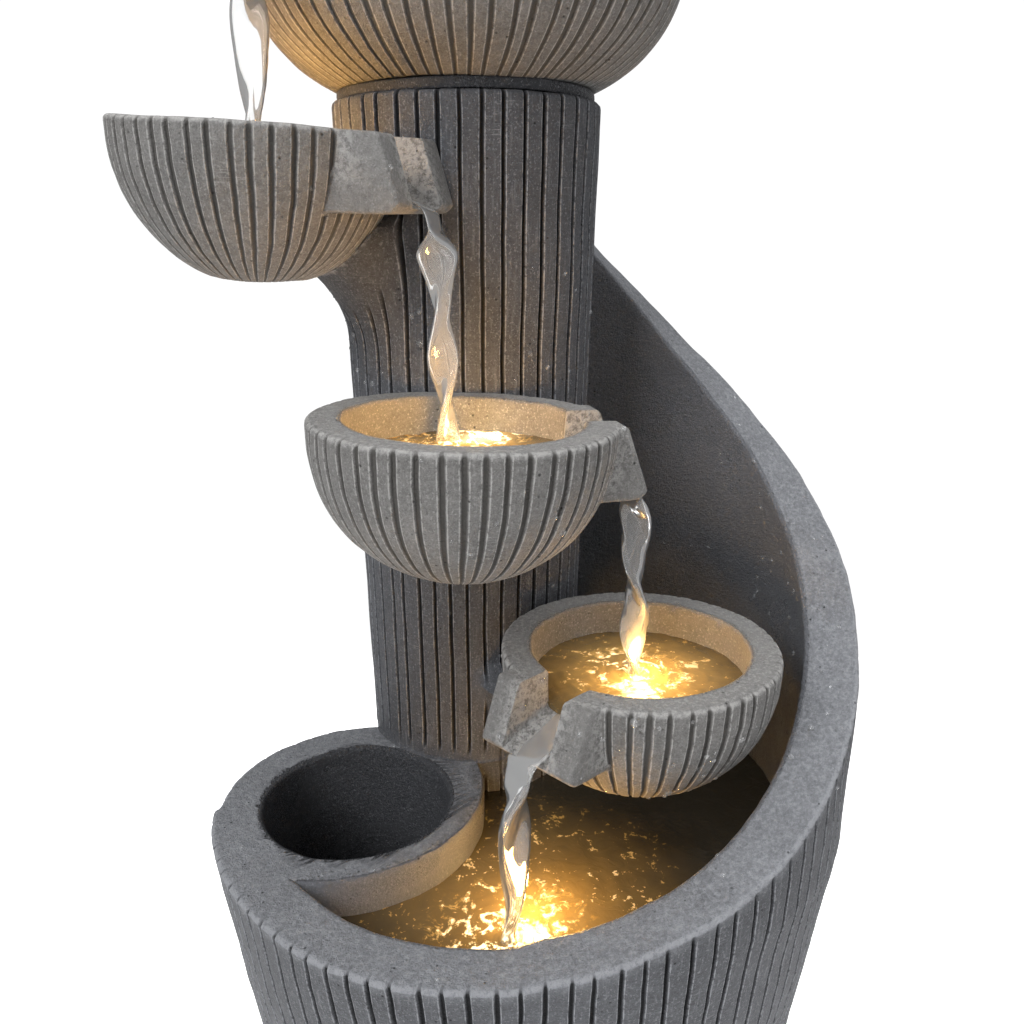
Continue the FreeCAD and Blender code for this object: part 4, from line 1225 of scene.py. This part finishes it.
def beads(name, piece, low, high, facing, density, size, seed, water):
    """Beads on the faces of a piece that lie between two heights and look towards a direction."""
    bm = bmesh.new()
    bm.from_mesh(piece.data)
    dry = []
    for face in bm.faces:
        z = face.calc_center_median().z
        if not low < z < high or face.normal.dot(Vector(facing)) < 0.25:
            dry.append(face)
    bmesh.ops.delete(bm, geom=dry, context="FACES")
    mesh = bpy.data.meshes.new(name)
    bm.to_mesh(mesh)
    bm.free()
    wet = add_piece(name, mesh)
    scatter = wet.modifiers.new("scatter", "NODES")
    scatter.node_group = BEADS
    set_inputs(scatter, Density=density, Size=size, Seed=seed, Water=water)
    bake(wet)
    wet.data.shade_smooth()
    return wet


# ---- making the fountain ----------------------------------------------------------------------------
def settle(piece, body, slot, *replaced):
    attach(piece, body)
    if replaced:
        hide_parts(*replaced)
    return piece


basin = settle(basin_and_wing(DARK_STONE), "root", "dark_cast_stone", "base_casting", "wing_wall")
column = settle(column_shell(DARK_STONE), "root", "dark_cast_stone", "column_casting", "upper_bracket",
                "middle_bracket", "lower_bracket", "column_foot")
settle(door_panel(DARK_STONE), "rear_door", "dark_cast_stone", "rear_door")
settle(neck(DARK_STONE), "root", "dark_cast_stone", "neck_ring")
bowls = {bowl: settle(small_bowl(bowl, LIGHT_STONE, seed), "root", "light_cast_stone", bowl + "_bowl")
         for seed, bowl in enumerate(BOWLS, 51)}
settle(crowning_bowl(LIGHT_STONE), "root", "light_cast_stone", "top_bowl")
finish_fittings()


clear = clear_water()
deep_olive = (0.030, 0.026, 0.018)


def centre_of(node):
    low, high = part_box(node)
    return (low + high) / 2


def spout_tip(matrix, radius, reach):
    return matrix @ Vector((radius + reach + 0.030, 0, -0.045))


sources = {"upper": (crown_frame(), TOP_BOWL_R, 0.0), "middle": (bowl_frame("upper"), *BOWLS["upper"][1::3]),
           "lower": (bowl_frame("middle"), *BOWLS["middle"][1::3]),
           "basin": (bowl_frame("lower"), *BOWLS["lower"][1::3])}
tips = {pool_name: spout_tip(*source) for pool_name, source in sources.items()}
# hot is where each pool's painted hot spot sits from its lamp; heat is how bright that painted light is
hot = {"upper": ORIGIN, "middle": Vector((0.012, 0.052, 0)), "lower": Vector((0.010, -0.034, 0))}
heat = {"upper": 0.6, "middle": 6.0, "lower": 0.7}
for seed, bowl in enumerate(BOWLS, 81):
    centre, radius, angle, lean, _ = BOWLS[bowl]
    lamp, tip = centre_of("led_lens_" + bowl), tips[bowl]
    surface = painted_glow_water(bowl + "_painted_glow_water", lamp, tip, lamp + hot[bowl], heat[bowl], 0.075, 1.0, 1.0,
                        deep_olive)
    pool_here = bowl_pool(bowl + "_water", centre, (radius - BOWL_LIP, BOWL_INSIDE), (angle, lean),
                          [(tip.x, tip.y)], seed)
    settle(shine(beside_column(pool_here), surface), "root", "warm_lens")
    lamp_light(bowl + "_lamp", (lamp.x, lamp.y, water_level(bowl) + 0.016), 0.5)
# the crown's water gets a faint painted glow
surface = painted_glow_water("crown_water_painted_glow", CROWN, CROWN, CROWN, 0.0, 0.06, 0.05, 1.0, (0.10, 0.105, 0.10))
crown_pool = bowl_pool("crown_water", CROWN, (TOP_BOWL_R - BOWL_LIP, TOP_BOWL_INSIDE), (TOP_SPOUT, 0.0),
                       [(COLUMN.x, COLUMN.y)], 80)
settle(shine(crown_pool, surface), "root", "clear_vinyl")
lamp, tip = centre_of("led_lens_basin"), tips["basin"]
# splash is the centre of the basin's painted hot spot
splash = tip + Vector((0.006, -0.012, 0))
surface = painted_glow_water("basin_painted_glow_water", lamp, tip, splash, 0.7, 0.115, 1.0, 0.42, deep_olive)
settle(basin_pool((tip.x, tip.y), surface), "root", "warm_lens")
lamp_light("basin_lamp", (lamp.x, lamp.y, BASIN_LEVEL + 0.024), 0.6)
turns = {"upper": 1.0, "middle": 1.1, "lower": -1.0, "basin": 0.9}
levels = {bowl: water_level(bowl) for bowl in BOWLS} | {"basin": BASIN_LEVEL}
for seed, (pool_name, source) in enumerate(sources.items(), 91):
    fall = stream("stream_to_" + pool_name, *source, levels[pool_name] - 0.001, turns[pool_name], seed, clear)
    settle(fall, "root", "clear_vinyl")
# piece, label, lowest and highest bead, the way the wet faces look, beads per square metre, largest radius
damp = ((column, "column", 0.635, 0.735, (-0.2, -1, 0), 3000, 0.0026),
        (column, "shaft", 0.45, 0.60, (0, -1, 0), 700, 0.0022),
        (bowls["lower"], "lower_bowl", 0.39, 0.474, (-0.6, -1, 0), 3200, 0.0034),
        (bowls["middle"], "middle_bowl", 0.58, 0.640, (0.8, -1, 0), 1400, 0.0028),
        (bowls["upper"], "upper_bowl", 0.76, 0.822, (0.9, -0.6, 0.2), 700, 0.0024),
        (basin, "wing", RIM + 0.02, 0.60, (-1, -0.4, 0), 2200, 0.0026),
        (basin, "lip", RIM - 0.01, 0.62, (0, 0, 1), 900, 0.0022))
for seed, (piece, label, low, high, facing, density, size) in enumerate(damp, 201):
    wet = beads("beads_on_" + label, piece, low, high, facing, density, size, seed, clear)
    settle(wet, "root", "clear_vinyl")


# ---- stage ------------------------------------------------------------------------------------------
def soft_light(name, where, aim, size, power, tone=(1.0, 1.0, 1.0)):
    lamp = bpy.data.lights.new(name, "AREA")
    lamp.shape = "SQUARE"
    lamp.size = size
    lamp.energy = power
    lamp.color = tone
    light = bpy.data.objects.new(name, lamp)
    light.location = where
    light.rotation_euler = (Vector(aim) - Vector(where)).to_track_quat("-Z", "Y").to_euler()
    bpy.context.scene.collection.objects.link(light)


def white_floor():
    bm = bmesh.new()
    bmesh.ops.create_circle(bm, cap_ends=True, segments=96, radius=0.9)
    mesh = bpy.data.meshes.new("floor")
    bm.to_mesh(mesh)
    bm.free()
    floor = add_piece("floor", mesh)
    floor.location.z = -0.0005
    f = Finish("white_floor")
    speck = f.noise(3.0, 2.0)
    f.finish(Base_Color=f.tint(speck, rgb(0.93, 0.93, 0.93), rgb(0.96, 0.96, 0.96)), Roughness=0.75,
             Emission_Color=rgb(1, 1, 1), Emission_Strength=0.9)
    mesh.materials.append(f.material)


def white_sky():
    world = bpy.data.worlds.new("studio")
    bpy.context.scene.world = world
    world.use_nodes = True
    tree = world.node_tree
    tree.nodes.clear()
    seen, lit = tree.nodes.new("ShaderNodeBackground"), tree.nodes.new("ShaderNodeBackground")
    seen.inputs["Strength"].default_value = 1.05
    lit.inputs["Strength"].default_value = SKY_LIGHT
    seen.inputs["Color"].default_value = lit.inputs["Color"].default_value = rgb(1, 1, 1)
    path, either = tree.nodes.new("ShaderNodeLightPath"), tree.nodes.new("ShaderNodeMath")
    either.operation = "MAXIMUM"
    tree.links.new(path.outputs["Is Camera Ray"], either.inputs[0])
    tree.links.new(path.outputs["Is Transmission Ray"], either.inputs[1])
    mix, out = tree.nodes.new("ShaderNodeMixShader"), tree.nodes.new("ShaderNodeOutputWorld")
    tree.links.new(either.outputs[0], mix.inputs[0])
    tree.links.new(lit.outputs[0], mix.inputs[1])
    tree.links.new(seen.outputs[0], mix.inputs[2])
    tree.links.new(mix.outputs[0], out.inputs[0])


SKY_LIGHT = 0.26
white_floor()
white_sky()
soft_light("key", (-1.5, -1.9, 2.3), (0, 0, 0.5), 1.5, 70)
soft_light("top", (0.3, 0.1, 2.6), (0, 0, 0.5), 1.6, 26)
soft_light("fill", (2.2, -1.4, 1.2), (0, 0, 0.5), 1.6, 16)
bpy.context.scene.view_settings.view_transform = "Standard"

eye = bpy.data.cameras.new("camera")
eye.lens = 33.05
eye.sensor_width = 36.0
eye.clip_start = 0.02
camera = bpy.data.objects.new("camera", eye)
camera.location = (BASE.x - 0.020, BASE.y - 0.6725, 0.762)
camera.rotation_euler = (math.radians(90 - 17.5), 0, 0)
bpy.context.scene.collection.objects.link(camera)
bpy.context.scene.camera = camera
